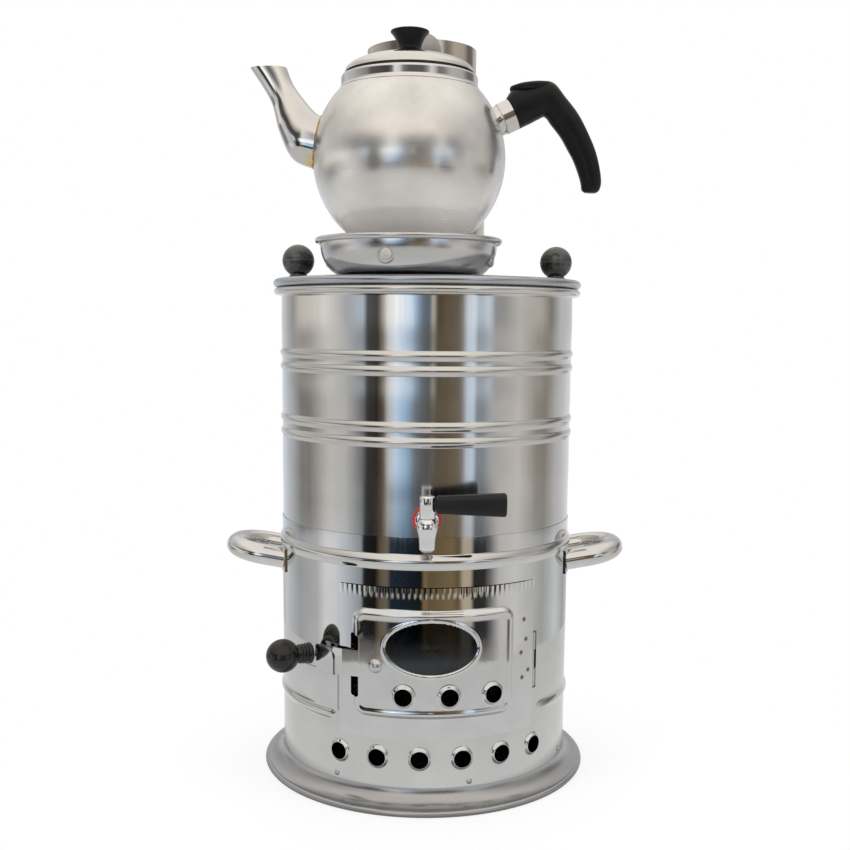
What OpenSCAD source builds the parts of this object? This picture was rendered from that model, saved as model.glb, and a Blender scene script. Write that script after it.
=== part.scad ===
// Wood-fired samovar: a water tank over a firebox, a side-hinged fire door with a lift latch,
// a front tap, a loose lid with a chimney socket, and a teapot on a steam stand.
// Millimetres. +Z is up, the tap faces -Y, and the origin is under the body's axis on the floor.
// An azimuth is counted in degrees from the front (-Y) towards +X.

/* [Body] */
// Outer diameter of the tank shell
body_d = 270; // [250:1:290]
// Sheet thickness of the shells
sheet = 0.6; // [0.4:0.1:1.0]
// Height of the tank's rolled rim above the floor
rim_z = 450; // [430:1:480]
// Height of the top edge of the fire shell
fire_top = 239.8; // [236:0.2:243]
// Radius of the tank's rolled rim
rim_roll = 3.3; // [2.5:0.1:4]
// Heights of the four beads on the tank shell
tank_beads = [319.5, 332.5, 379, 391.5];
// Height of a tank bead across its wave
tank_bead_h = 8; // [5:0.5:10]
// How far a tank bead stands out
tank_bead_p = 1.6; // [0.8:0.1:2.5]
// Height of the big bead round the fire shell
fire_bead_z = 217.7; // [214:0.1:220]
// Height of the low bead beside the door
low_bead_z = 76.5; // [72:0.5:80]

/* [Base] */
// Outer diameter of the base ring
base_d = 307.4; // [290:0.2:330]
// Height of the base ring's flare
flare_h = 19.3; // [14:0.1:24]
// Radius of the rolled hem that rests on the floor
hem_r = 2.7; // [2:0.1:3.5]
// Thickness of the base ring's sheet
base_sheet = 0.8; // [0.6:0.1:1.2]
// Number of screws through the shell into the base ring
screw_count = 7; // [4:1:9]
// Number of air vents in the front of the fire shell's foot
vent_count = 6; // [3:1:6]
// Angle from one vent to the next
vent_step = 15.65; // [13:0.05:16]
// Height of the row of air vents
vent_z = 45.5; // [44:0.5:48]
// Radius of the clear hole of a vent
vent_r = 7.7; // [5:0.1:9]

/* [Door] */
// Azimuth of the door's free edge
door_a1 = -33.1; // [-36:0.1:-32]
// Azimuth of the hinge axis
hinge_a = 45; // [43:0.5:48]
// Height of the door's lower edge
door_z1 = 63; // [60:0.5:65]
// Height of the door's upper edge
door_z2 = 195.8; // [193:0.1:197]
// How far the pressed panel stands out of the door
panel_raise = 3; // [2.6:0.1:3.4]
// Width of the pressed panel, measured straight across
panel_w = 142.6; // [140:0.1:144]
// Height of the pressed panel
panel_h = 96; // [94:0.5:98]
// Corner radius of the pressed panel
panel_r = 12; // [6:0.5:16]
// Half width of the oval place on the panel
oval_a = 40.5; // [34:0.5:44]
// Half height of the oval place on the panel
oval_b = 24; // [18:0.5:26]
// Length of the hinge
hinge_l = 50; // [40:1:54]

/* [Latch] */
// Height of the latch's pivot
latch_z = 127.4; // [126:0.1:129]
// Height of the latch strap
strap_h = 23.3; // [20:0.1:23.6]
// Thickness of the latch strap
strap_t = 1.2; // [0.8:0.1:1.4]
// Radius of the latch's ball handle
latch_ball_r = 14.6; // [12:0.1:16]

/* [Side handles] */
// Radius of the handle tube
grip_tube_r = 9.5; // [7:0.5:10]
// Reach of the handles from the body's axis
handle_reach = 190; // [180:1:200]
// Distance between the two legs of a handle
handle_legs = 64; // [60:1:84]
// Height of the side handles
handle_z = 201; // [196:0.5:202]
// How steeply the handles rise outwards
handle_tilt = 10; // [0:1:14]

/* [Tap] */
// Height of the tap's inlet
tap_z = 255.5; // [254:0.5:262]
// Reach of the tap's spindle from the shell
tap_reach = 25; // [22:0.5:30]
// Length of the tap's lever grip
lever_l = 58; // [45:1:65]

/* [Lid and chimney] */
// Thickness of the lid's sheet
lid_sheet = 1; // [0.8:0.1:1.2]
// Radius of the lid's rolled edge
lid_roll = 3.9; // [3:0.1:4.5]
// Radius of the lid's ball knobs
ball_r = 14.8; // [12:0.1:16]
// Place of the flue, sideways and behind the axis
flue_at = [-6, 77];
// Outer radius of the flue tube in the tank
flue_r = 54; // [45:0.5:54]
// Outer radius of the chimney socket on the lid
collar_r = 63; // [60:0.5:64]
// Outer radius of the chimney pipe
pipe_r = 53; // [46:0.2:53.2]
// Height of the top of the chimney
pipe_top = 681; // [640:1:720]

/* [Teapot] */
// How far the teapot and its stand are to the left of the axis
pot_aside = 17; // [0:1:20]
// Gap between the stand and the chimney socket
pot_clear = 2.9; // [2:0.1:8]
// Outer radius of the teapot's ball-shaped body
pot_r = 82.6; // [78:0.2:84]
// Height of the middle of the teapot's body
pot_z = 557.9; // [556:0.1:562]
// Sheet thickness of the teapot
pot_sheet = 0.8; // [0.6:0.1:1.2]
// Outer radius of the teapot's neck
neck_r = 58.3; // [54:0.1:60]
// Height of the teapot's neck above its ball
neck_h = 10.1; // [8:0.1:14]
// Radius of the teapot lid
pot_lid_r = 55.4; // [54.4:0.1:56]
// Height of the teapot lid's dome
dome_h = 17; // [12:0.5:22]
// How far the stand's rim is inside the teapot's widest circle
stand_inset = 1.5; // [0.5:0.1:4]
// Height of the stand's rim above the lid
stand_h = 33; // [30:0.5:35]

/* [Hidden] */
$fn = 96;
eps = 0.01;
fit = 0.05;          // running clearance of pins in bores, and of nested shells
gap = 0.3;           // distance between curved faces of parts that lift off
body_r = body_d / 2;
fire_in = body_r + fit;
fire_r = fire_in + sheet;
base_r = base_d / 2;
tank_in = body_r - sheet;
tank_foot = fire_bead_z + 8.3;
floor_z = tank_foot + 3;

door_in = fire_r + gap;
door_r = door_in + sheet;
panel_r_out = door_r + panel_raise;
panel_r_in = panel_r_out - sheet;
panel_a = 3.3;
panel_z = (door_z1 + door_z2) / 2 - 0.2;
opening_a1 = door_a1 + 2.5;
opening_a2 = hinge_a - 5;
opening_z1 = door_z1 + 5;
opening_z2 = door_z2 + 1;
door_vents = [-7.8, 8.4, 24.6];
door_vent_z = 102;

hinge_r = fire_in;   // distance of the hinge axis from the body's axis
knuckle_r = 1.3;
pin_r = 0.6;
hinge_z = door_z1 + 35;
knuckle_l = hinge_l / 3;

latch_a = -18.1;
strap_d = door_in + 0.55;                 // distance of the strap's middle from the body's axis
rivet_r = 3;
rivet_head_r = 6.2;
bend_a = 12.9;                            // where the strap bends, from the pivot
bend_turn = 14.9;                         // how far it bends towards the shell
strap_end_a = -42.5;
slot_a1 = -27;       // slot in the panel's face, seen from the front
slot_a2 = -24.4;
slot_z1 = 98;
slot_z2 = 152;
pass_a1 = -28.5;     // slot in the panel's side wall, where the strap comes out
pass_z2 = 153.6;
knob_turn = 49;                           // azimuth of the ball handle from the pivot's azimuth
knob_z = latch_z + 4;
knob_neck = 17;
catch_t = 1;
catch_z = latch_z - strap_h / 2 - gap;    // top of the ledge that the strap rests on

vent_base = vent_r + 2.9;
vent_p = 2.6;
screw_a = 16.6;
vent_a = -33.3;

pan_z = 33;
grate_z = 58;
grate_r = body_r - 5;
bracket_as = [-65, 65, 115, -115];

lid_under = rim_z + gap;
roll_z = lid_under + lid_roll;
lid_top = roll_z + lid_roll;
roll_r = body_r + lid_roll - 0.4;
knob_x = body_r - 15;
knob_ball_z = lid_top + 17.4;
steam_r = 20;

collar_top = lid_top + 94;
socket_r = pipe_r + 0.8;
pipe_foot = collar_top - 24;
stop_z = collar_top + gap;

stand_r = pot_r - stand_inset;
pot_at = [-pot_aside, flue_at[1] - collar_r - stand_r - pot_clear];
pot_base = pot_z - 0.8705 * pot_r;
neck_z = pot_z + sqrt(pot_r * pot_r - neck_r * neck_r);
neck_top = neck_z + neck_h;
lid_seat = neck_top + gap;
mouth_r = neck_r - 4.8;
knob_foot = lid_seat + dome_h + 1.1;

// ---- shared shapes -------------------------------------------------------------------------

function unit(v) = v / norm(v);
function left_of(a, b) = unit([a[1] - b[1], b[0] - a[0]]);
// A path moved sideways by t, with mitred corners: positive moves it to its left
function beside(p, t) = [for (i = [0:len(p) - 1])
    let (before = left_of(p[max(i - 1, 0)], p[max(i, 1)]),
         after = left_of(p[min(i, len(p) - 2)], p[min(i + 1, len(p) - 1)]),
         n = unit(before + after))
    p[i] + n * t / max(0.5, n * before)];
function reversed(p) = [for (i = [len(p) - 1:-1:0]) p[i]];
// Half a sine wave of height h and depth p round the height z, as [out, z] pairs
function wave(z, h, p, steps = 10) = [for (i = [0:steps])
    [p * sin(180 * i / steps), z - h / 2 + h * i / steps]];
function arc(cx, cz, rx, rz, from, to, steps) = [for (i = [0:steps])
    let (a = from + (to - from) * i / steps) [cx + rx * cos(a), cz + rz * sin(a)]];

module ring(r_out, r_in, h) {
    difference() {
        cylinder(r = r_out, h = h);
        translate([0, 0, -1]) cylinder(r = r_in, h = h + 2);
    }
}

// A sheet revolved from its outer path; t is its thickness, to the path's left if positive
module revolved_sheet(path, t) {
    rotate_extrude() polygon(concat(path, reversed(beside(path, t))));
}

// A block between two azimuths, two radii and two heights
module sector(a1, a2, r1, r2, z1, z2) {
    rotate([0, 0, a1 - 90]) rotate_extrude(angle = a2 - a1)
        translate([r1, z1]) square([r2 - r1, z2 - z1]);
}

// A round shell wall with pressed beads given as [z, h, p]
module beaded_wall(r, t, z1, z2, beads) {
    waves = [for (b = beads) each wave(b[0], b[1], b[2])];
    line = concat([[0, z1]], waves, [[0, z2]]);
    outer = [for (q = line) [r + q[0], q[1]]];
    inner = [for (q = reversed(line)) [r - t + q[0], q[1]]];
    rotate_extrude() polygon(concat(outer, inner));
}

// A bead that runs only part of the way round, between two azimuths
module part_bead(r, z, h, p, a1, a2) {
    crest = [for (q = wave(z, h, p + 0.1)) [r - 0.1 + q[0], q[1]]];
    rotate([0, 0, a1 - 90]) rotate_extrude(angle = a2 - a1)
        polygon(concat([[r - 0.3, z - h / 2]], crest, [[r - 0.3, z + h / 2]]));
}

// Children drawn with +Z outwards are put on the body's side at an azimuth, height and radius
module on_side(a, z, r) {
    rotate([0, 0, a]) translate([0, -r, z]) rotate([90, 0, 0]) children();
}

// The hole cut in a sheet for one vent, and the pressed cone that stands round it
module vent_hole(a, z, r) {
    on_side(a, z, r - 4) cylinder(r = vent_base - 0.7, h = 8);
}
module vent_cone(a, z, r) {
    on_side(a, z, r) rotate_extrude() polygon([[vent_base, -sheet - 0.1], [vent_r + sheet, vent_p],
        [vent_r, vent_p], [vent_base - 0.9, -sheet - 0.1]]);
}

module rounded_bar(w, h, r, d) {
    linear_extrude(d) union() {
        square([w - 2 * r, h], center = true);
        square([w, h - 2 * r], center = true);
        for (x = [-1, 1], y = [-1, 1]) translate([x * (w / 2 - r), y * (h / 2 - r)]) circle(r = r);
    }
}

// ---- base ----------------------------------------------------------------------------------

module base_ring() {
    hem_x = base_r - hem_r;
    flare = arc(hem_x, flare_h, hem_x - fire_in + fit, flare_h - 2 * hem_r + 0.4, 180, 270, 10);
    color([0.62, 0.61, 0.59]) {
        difference() {
            revolved_sheet(concat([[fire_in - fit, pan_z]], flare), -base_sheet);
            for (i = [0:screw_count - 1])
                on_side(screw_a + i * 360 / screw_count, 24, body_r - 8) cylinder(r = 1.6, h = 14);
        }
        rotate_extrude() {
            translate([hem_x, hem_r]) circle(r = hem_r, $fn = 40);
            translate([hem_x - 1.4, 0]) square([2.8, hem_r]);
        }
    }
}

module base_screws() {
    color([0.75, 0.75, 0.76]) for (i = [0:screw_count - 1])
        on_side(screw_a + i * 360 / screw_count, 24, fire_r) {
            translate([0, 0, -4]) cylinder(r = 1.5, h = 4.2);
            intersection() {
                translate([0, 0, 0.05]) cylinder(r = 2.6, h = 3);
                translate([0, 0, -1.6]) sphere(r = 3.2);
            }
        }
}

module ash_pan() {
    pan = [[fire_in - fit, pan_z + base_sheet], [body_r - 4, pan_z + base_sheet],
        [body_r - 5, pan_z - 10], [eps, pan_z - 10]];
    color([0.4, 0.4, 0.41]) revolved_sheet(pan, base_sheet);
}

// ---- fire shell ----------------------------------------------------------------------------

module fire_shell() {
    plain_a1 = door_a1 - 1.6;
    plain_a2 = hinge_a + 1.6;
    color([0.78, 0.77, 0.75]) {
        difference() {
            union() {
                rotate([0, 0, vent_a - 90 - 1.5 * vent_step])
                    beaded_wall(fire_r, sheet, flare_h + 0.2, fire_top, [[fire_bead_z, 12, 3]]);
                part_bead(fire_r, low_bead_z, 9, 2, plain_a2, 360 + plain_a1);
            }
            sector(opening_a1, opening_a2, fire_in - 5, fire_r + 5, opening_z1, opening_z2);
            sector(opening_a2 - 1, hinge_a + 1.6, fire_in - 5, fire_r + 5, hinge_z - 1,
                hinge_z + hinge_l + 1);
            for (i = [0:vent_count - 1]) vent_hole(vent_a + i * vent_step, vent_z, fire_r);
            for (i = [0:screw_count - 1])
                on_side(screw_a + i * 360 / screw_count, 24, body_r - 8) cylinder(r = 1.6, h = 14);
        }
        for (i = [0:vent_count - 1]) vent_cone(vent_a + i * vent_step, vent_z, fire_r);
    }
}

module grate_brackets() {
    color([0.5, 0.5, 0.5]) for (a = bracket_as) {
        sector(a - 3, a + 3, grate_r - 8, fire_in - fit, grate_z - 1.4, grate_z - eps);
        sector(a - 3, a + 3, fire_in - fit - 1.2, fire_in - fit, grate_z - 1.4, grate_z + 11);
    }
}

module fire_grate() {
    bar = 9;
    slot = 8;
    color([0.28, 0.27, 0.27]) difference() {
        translate([0, 0, grate_z]) cylinder(r = grate_r, h = 4);
        for (i = [-6:6]) {
            half = sqrt(pow(grate_r - 12, 2) - pow(i * (bar + slot), 2));
            translate([i * (bar + slot) - slot / 2, -half, grate_z - 1]) cube([slot, 2 * half, 6]);
        }
    }
}

// ---- tank ----------------------------------------------------------------------------------

module tank_shell() {
    beads = [for (z = tank_beads) [z, tank_bead_h, tank_bead_p]];
    roll_x = body_r + rim_roll + 0.6;
    color([0.74, 0.73, 0.71]) difference() {
        union() {
            beaded_wall(body_r, sheet, tank_foot, rim_z - rim_roll, beads);
            rotate_extrude() {
                translate([roll_x, rim_z - rim_roll]) circle(r = rim_roll, $fn = 40);
                polygon([[tank_in, rim_z - 2 * rim_roll], [body_r, rim_z - 2 * rim_roll],
                    [roll_x - 1, rim_z - 2 * rim_roll + 1], [roll_x - 1, rim_z - 1],
                    [tank_in, rim_z - rim_roll]]);
            }
        }
        on_side(0, tap_z, body_r - 8) cylinder(r = 6.8, h = 14);
    }
}

module tank_bottom() {
    color([0.7, 0.7, 0.7]) difference() {
        union() {
            translate([0, 0, floor_z]) cylinder(r = tank_in - fit, h = 1);
            translate([0, 0, tank_foot]) ring(tank_in - fit, tank_in - 1, floor_z - tank_foot + 0.5);
        }
        translate([flue_at[0], flue_at[1], floor_z - 1]) cylinder(r = flue_r + fit, h = 3);
    }
}

module flue_tube() {
    color([0.6, 0.58, 0.55]) translate([flue_at[0], flue_at[1], floor_z - 2])
        ring(flue_r, flue_r - 0.8, lid_top + 18 - floor_z);
}

// ---- side handles --------------------------------------------------------------------------

leg_y = handle_legs / 2;
foot_a = 90 - asin(leg_y / fire_r);
foot_r = fire_r + fit;
foot_t = 1.5;

module handle_feet() {
    color([0.8, 0.8, 0.8]) for (side = [-1, 1], leg = [-1, 1]) {
        a = side * (90 + leg * (90 - foot_a));
        sector(a - 4.6, a + 4.6, foot_r, foot_r + foot_t, handle_z - 12, handle_z + 9.5);
    }
}

// A tube bent to a flat U that stands out to +X and rises outwards from the shell
module side_handle() {
    corner = leg_y - 2;
    bar_x = handle_reach - grip_tube_r - body_r;
    corner_x = bar_x - corner;
    color([0.82, 0.82, 0.82]) translate([0, 0, handle_z]) difference() {
        translate([body_r, 0, 0]) rotate([0, -handle_tilt, 0]) union() {
            for (s = [-1, 1]) {
                translate([-20, s * leg_y, 0]) rotate([0, 90, 0])
                    cylinder(r = grip_tube_r, h = corner_x + 20);
                translate([corner_x, s * (leg_y - corner), 0]) rotate([0, 0, s > 0 ? 0 : -90])
                    rotate_extrude(angle = 90) translate([corner, 0]) circle(r = grip_tube_r, $fn = 48);
            }
            translate([bar_x, leg_y - corner, 0]) rotate([90, 0, 0])
                cylinder(r = grip_tube_r, h = 2 * (leg_y - corner));
        }
        translate([0, 0, -50]) cylinder(r = foot_r + foot_t, h = 100);
    }
}

module handle_right() side_handle();
module handle_left() rotate([0, 0, 180]) side_handle();

// ---- tap -----------------------------------------------------------------------------------

tap_y = body_r + tap_reach;
seat_r = 5;
cap_r = 6.5;
tap_bore = 2.8;
body_top = tap_z + 4.6;
seat_z = tap_z - 8;
flange_y = body_r + 6.2;

module tap_gasket() {
    color([0.72, 0.16, 0.16]) on_side(0, tap_z, body_r + fit) ring(12.3, 6.6, 3.1);
}

module tap_body() {
    color([0.85, 0.85, 0.86]) difference() {
        union() {
            on_side(0, tap_z, body_r - 11) cylinder(r = 6.4, h = 17);
            on_side(0, tap_z, flange_y - 3) cylinder(r = 9.9, h = 3);
            on_side(0, tap_z, flange_y - eps) cylinder(r = 6.2, h = tap_y - flange_y);
            translate([0, -tap_y, 0]) rotate_extrude() polygon([[0, tap_z - 22.5],
                [4.8, tap_z - 22.5], [6.6, tap_z - 20.5], [7, tap_z - 12], [7.4, tap_z - 9.5],
                [8.6, tap_z - 5], [8.8, tap_z - 1], [8.2, tap_z + 2.5], [7, body_top], [0, body_top]]);
        }
        on_side(0, tap_z, body_r - 12) cylinder(r = tap_bore, h = tap_reach + 12);
        translate([0, -tap_y, seat_z]) cylinder(r = seat_r + fit, h = 30);
        translate([0, -tap_y, body_top]) cylinder(r = cap_r + gap, h = 10);
        translate([0, -tap_y, tap_z - 25]) cylinder(r = tap_bore, h = 30);
    }
}

module tap_nut() {
    color([0.72, 0.66, 0.45]) on_side(0, tap_z, body_r - 7.6) difference() {
        cylinder(r = 11, h = 5, $fn = 6);
        translate([0, 0, -1]) cylinder(r = 6.5, h = 7);
    }
}

module tap_plug() {
    color([0.86, 0.86, 0.87]) difference() {
        translate([0, -tap_y, 0]) rotate_extrude() polygon([[0, seat_z + gap], [seat_r, seat_z + gap],
            [seat_r, body_top + gap], [cap_r, body_top + gap], [cap_r, tap_z + 22.8], [5.7, tap_z + 23.8],
            [0, tap_z + 23.8]]);
        translate([0, -tap_y, seat_z - 1]) cylinder(r = tap_bore, h = 10);
        translate([0, -tap_y, tap_z]) rotate([0, -90, 0]) cylinder(r = tap_bore, h = 10);
        translate([2.5, -tap_y, tap_z + 16.5]) rotate([0, 90, 0]) cylinder(r = 2.2, h = 10);
    }
}

// Outline of the lever's grip, flattened on top
function grip_outline(h, w) = [for (i = [0:31]) let (a = i * 11.25, e = 0.6)
    [h / 2 * sign(cos(a)) * pow(abs(cos(a)), e), w / 2 * sign(sin(a)) * pow(abs(sin(a)), e)]];

module tap_lever() {
    root = cap_r + gap;
    color([0.1, 0.1, 0.1]) translate([0, -tap_y, tap_z + 16.5]) rotate([0, 90, 0]) {
        translate([0, 0, 2.6]) cylinder(r = 2.15, h = 8);
        translate([0, 0, root]) cylinder(r = 5, h = 3);
        hull() {
            translate([0, 0, root + 2.5]) linear_extrude(1) polygon(grip_outline(14, 12));
            translate([0, 0, root + 4]) linear_extrude(1) polygon(grip_outline(15.4, 13));
            translate([0, 0, root + lever_l]) linear_extrude(1) polygon(grip_outline(19.4, 14.4));
            translate([0, 0, root + lever_l + 1.5]) linear_extrude(1) polygon(grip_outline(18, 13));
        }
    }
}

// ---- door and hinge ------------------------------------------------------------------------

// Children are drawn in the pressed panel's plane, +Z outwards, centred on the panel
module on_panel() {
    rotate([0, 0, panel_a]) translate([0, -(door_in - 40), panel_z]) rotate([90, 0, 0]) children();
}

module panel_block(inset) {
    on_panel() rounded_bar(panel_w - 2 * inset, panel_h - 2 * inset, panel_r - inset, 56);
}

module tube_wall(r_out, r_in) {
    translate([0, 0, door_z1 - 5]) ring(r_out, r_in, door_z2 - door_z1 + 10);
}

module oval_block(grow) {
    on_panel() translate([-3, 15.2, 0]) linear_extrude(56) polygon([for (i = [0:47])
        [(oval_a + grow) * cos(i * 7.5), (oval_b + grow) * sin(i * 7.5)]]);
}

module door_plate() {
    edge_a = hinge_a - 0.76;
    color([0.8, 0.79, 0.77]) {
        difference() {
            union() {
                difference() {
                    sector(door_a1, edge_a, door_in, door_r, door_z1, door_z2);
                    panel_block(sheet);
                }
                intersection() {
                    tube_wall(panel_r_out, door_in);
                    difference() {
                        panel_block(0);
                        panel_block(sheet);
                    }
                }
                intersection() {
                    tube_wall(panel_r_out, panel_r_in);
                    panel_block(0);
                }
                intersection() {
                    tube_wall(panel_r_out + 0.8, panel_r_out - 0.2);
                    difference() {
                        oval_block(1.6);
                        oval_block(0);
                    }
                }
            }
            sector(slot_a1, slot_a2, door_in - 5, door_in + 12, slot_z1, slot_z2);
            sector(pass_a1, slot_a1 + 0.3, door_in - 5, door_in + 12, slot_z1 + 1, pass_z2);
            on_side(latch_a, latch_z, door_in - 10) cylinder(r = rivet_r + fit, h = 24);
            for (a = door_vents) vent_hole(a, door_vent_z, panel_r_out);
        }
        for (a = door_vents) vent_cone(a, door_vent_z, panel_r_out);
    }
}

module knuckle(i) {
    rotate([0, 0, hinge_a]) translate([0, -hinge_r, hinge_z + i * knuckle_l + gap / 2])
        cylinder(r = knuckle_r, h = knuckle_l - gap, $fn = 32);
}

module hinge_bore() {
    rotate([0, 0, hinge_a]) translate([0, -hinge_r, hinge_z - 1])
        cylinder(r = pin_r + fit, h = hinge_l + 2, $fn = 32);
}

module hinge_leaf_fixed() {
    color([0.6, 0.6, 0.6]) difference() {
        union() {
            for (i = [0, 2]) knuckle(i);
            difference() {
                sector(hinge_a + 0.3, hinge_a + 8, fire_in - fit - sheet, fire_in - fit,
                    hinge_z + gap / 2 + eps, hinge_z + hinge_l - gap / 2 - eps);
                sector(hinge_a - 1, hinge_a + 2, fire_in - 3, fire_in + 3,
                    hinge_z + knuckle_l - gap / 2 + eps, hinge_z + 2 * knuckle_l + gap / 2 - eps);
            }
        }
        hinge_bore();
    }
}

module hinge_leaf_door() {
    color([0.6, 0.6, 0.6]) difference() {
        union() {
            knuckle(1);
            difference() {
                sector(hinge_a - 8, hinge_a - 0.3, door_in - fit - sheet, door_in - fit,
                    hinge_z + gap / 2, hinge_z + hinge_l - gap / 2);
                for (i = [0, 2]) sector(hinge_a - 1.2, hinge_a + 1, fire_in - 3, fire_in + 3,
                    hinge_z + i * knuckle_l - gap / 2 - eps,
                    hinge_z + (i + 1) * knuckle_l + gap / 2 + eps);
            }
        }
        hinge_bore();
    }
}

module hinge_pin() {
    color([0.55, 0.55, 0.55]) rotate([0, 0, hinge_a]) translate([0, -hinge_r, hinge_z])
        cylinder(r = pin_r, h = hinge_l, $fn = 32);
}

// ---- latch ---------------------------------------------------------------------------------

// The strap seen from above: x runs left from the pivot, y outwards from the body's axis
strap_bend = [strap_d * tan(bend_a), strap_d];
strap_run = [cos(bend_turn), -sin(bend_turn)];
plate_d = strap_bend * [sin(bend_turn), cos(bend_turn)];    // distance of the bent part's plane
end_gap = latch_a - bend_turn - strap_end_a;
strap_end = plate_d * [sin(bend_turn), cos(bend_turn)] + plate_d * tan(end_gap) * strap_run;
knob_run = [sin(knob_turn), cos(knob_turn)];
strap_tip = strap_end + 3.5 * knob_run;

// Children drawn with x to the left and y outwards are laid flat at the pivot's azimuth
module at_latch(z) {
    rotate([0, 0, latch_a]) translate([0, 0, z]) mirror([1, 0, 0]) mirror([0, 1, 0]) children();
}

module latch_strap() {
    half = strap_h / 2;
    whole = beside([[-half, strap_d], strap_bend, strap_end], strap_t / 2);
    inner = beside([[-half, strap_d], strap_bend, strap_end], -strap_t / 2);
    tab = [strap_end - 1.5 * knob_run, strap_tip];
    color([0.75, 0.75, 0.75]) difference() {
        union() {
            intersection() {
                at_latch(latch_z - half) linear_extrude(strap_h)
                    polygon(concat(whole, reversed(inner)));
                union() {
                    on_side(latch_a, latch_z, strap_d - 5) cylinder(r = half, h = 10);
                    at_latch(latch_z - half - 1) translate([0, strap_d - 20])
                        cube([90, 30, strap_h + 2]);
                }
            }
            at_latch(knob_z - 6) linear_extrude(12)
                polygon(concat(beside(tab, strap_t / 2), reversed(beside(tab, -strap_t / 2))));
        }
        on_side(latch_a, latch_z, strap_d - 10) cylinder(r = rivet_r + fit, h = 20);
    }
}

module latch_rivet() {
    back = strap_d - strap_t / 2 - fit;
    color([0.85, 0.85, 0.85]) on_side(latch_a, latch_z, 0) {
        translate([0, 0, back - 1.5]) cylinder(r = 5.5, h = 1.5);
        translate([0, 0, back - eps]) cylinder(r = rivet_r, h = panel_r_out - back + 1);
        translate([0, 0, strap_d + strap_t / 2 + fit])
            cylinder(r = 5, h = panel_r_in - strap_d - strap_t / 2 - 0.2);
        intersection() {
            translate([0, 0, panel_r_out + fit]) cylinder(r = rivet_head_r, h = 5);
            translate([0, 0, panel_r_out - 4.6]) sphere(r = 7.8);
        }
    }
}

// Children drawn with +Z along the ball handle, from the tip of the strap
module on_knob_axis() {
    at_latch(knob_z) translate([strap_tip[0], strap_tip[1], 0])
        rotate([0, 0, -knob_turn]) rotate([-90, 0, 0]) children();
}

module latch_stud() {
    color([0.6, 0.6, 0.6]) on_knob_axis() cylinder(r = 2.5, h = 20);
}

module latch_knob() {
    ball_at = knob_neck + 0.75 * latch_ball_r - 1;
    color([0.08, 0.08, 0.08]) on_knob_axis() difference() {
        union() {
            translate([0, 0, ball_at]) sphere(r = latch_ball_r);
            rotate_extrude() polygon([[0, 0.3], [7.5, 0.3], [9, 1.6], [9.4, 4], [8.6, 5], [9.2, 6.2],
                [8.2, 7.6], [8.8, 8.8], [8, 10.4], [8.6, 11.8], [7.8, 13.4], [7.8, knob_neck + 2],
                [0, knob_neck + 2]]);
        }
        translate([0, 0, -1]) cylinder(r = 2.5 + fit, h = 21.3);
    }
}

// The catch stands in front of the strap and is open at the top; the strap rests on its ledge
module latch_catch() {
    face = plate_d + strap_t / 2 + 0.6;
    foot_a = -49.5;                       // middle of the foot, its left end and its right end
    foot_a1 = -64.7;
    foot_a2 = -34.2;
    a2 = -35.4;
    foot_z = low_bead_z + 4.8;
    tongue_z = latch_z + 10.6;
    corner = 9;
    slope = latch_a - bend_turn;
    near = face * tan(a2 - slope) + 2.2;
    far = face * tan(strap_end_a - slope) + 3.2;
    color([0.78, 0.78, 0.78]) {
        intersection() {
            sector(foot_a1, foot_a2, fire_r + fit, fire_r + fit + catch_t, foot_z, catch_z - 0.4);
            on_side(foot_a, foot_z, fire_r - 60) linear_extrude(80)
                polygon([[9, -5], [45, -5], [45, 50], [-45, 50], [-45, 21.5], [-29.5, 12], [9, 1.5]]);
        }
        intersection() {
            sector(foot_a1 + 0.4, a2 + 4, fire_r + fit + 0.3, face + 12, catch_z - catch_t, catch_z);
            on_side(slope, catch_z, 0) translate([far - 0.2, -5, 0])
                cube([near - far + 0.4, 10, face + catch_t + 0.1]);
        }
        on_side(slope, catch_z - 0.5, face) translate([far, 0, 0]) linear_extrude(catch_t) union() {
            square([near - far, tongue_z - catch_z - corner + 0.5]);
            square([near - far - corner, tongue_z - catch_z + 0.5]);
            translate([near - far - corner, tongue_z - catch_z - corner + 0.5]) circle(r = corner);
        }
    }
}

// ---- lid and chimney -----------------------------------------------------------------------

module tank_lid() {
    color([0.7, 0.69, 0.67]) difference() {
        union() {
            translate([0, 0, lid_top - lid_sheet]) cylinder(r = roll_r, h = lid_sheet);
            rotate_extrude() translate([roll_r, roll_z]) circle(r = lid_roll, $fn = 48);
            translate([0, 0, lid_top - 11]) ring(tank_in - 1.2, tank_in - 2, 10.5);
        }
        translate([flue_at[0], flue_at[1], lid_top - 20]) cylinder(r = flue_r + 1, h = 30);
        translate([pot_at[0], pot_at[1], lid_top - 20]) cylinder(r = steam_r, h = 30);
        for (s = [-1, 1]) translate([s * knob_x, 0, lid_top - 5]) cylinder(r = 2.8, h = 10);
    }
}

module lid_knobs() {
    color([0.09, 0.09, 0.09]) for (s = [-1, 1]) translate([s * knob_x, 0, 0]) difference() {
        union() {
            translate([0, 0, knob_ball_z]) sphere(r = ball_r);
            translate([0, 0, lid_top]) cylinder(r = 9, h = 8);
        }
        translate([0, 0, lid_top - 1]) cylinder(r = 2.5 + fit, h = 15);
    }
}

module lid_knob_screws() {
    color([0.6, 0.6, 0.6]) for (s = [-1, 1]) translate([s * knob_x, 0, lid_top - lid_sheet]) {
        translate([0, 0, -3]) cylinder(r = 4.5, h = 3);
        cylinder(r = 2.5, h = 14);
    }
}

module chimney_collar() {
    path = [[collar_r, lid_top], [collar_r, collar_top - 24], [collar_r - 2, collar_top - 20],
        [socket_r + 2.6, collar_top - 14], [socket_r + 0.8, collar_top - 11],
        [socket_r + 0.8, collar_top]];
    color([0.72, 0.69, 0.65]) translate([flue_at[0], flue_at[1], 0]) revolved_sheet(path, 0.8);
}

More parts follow.
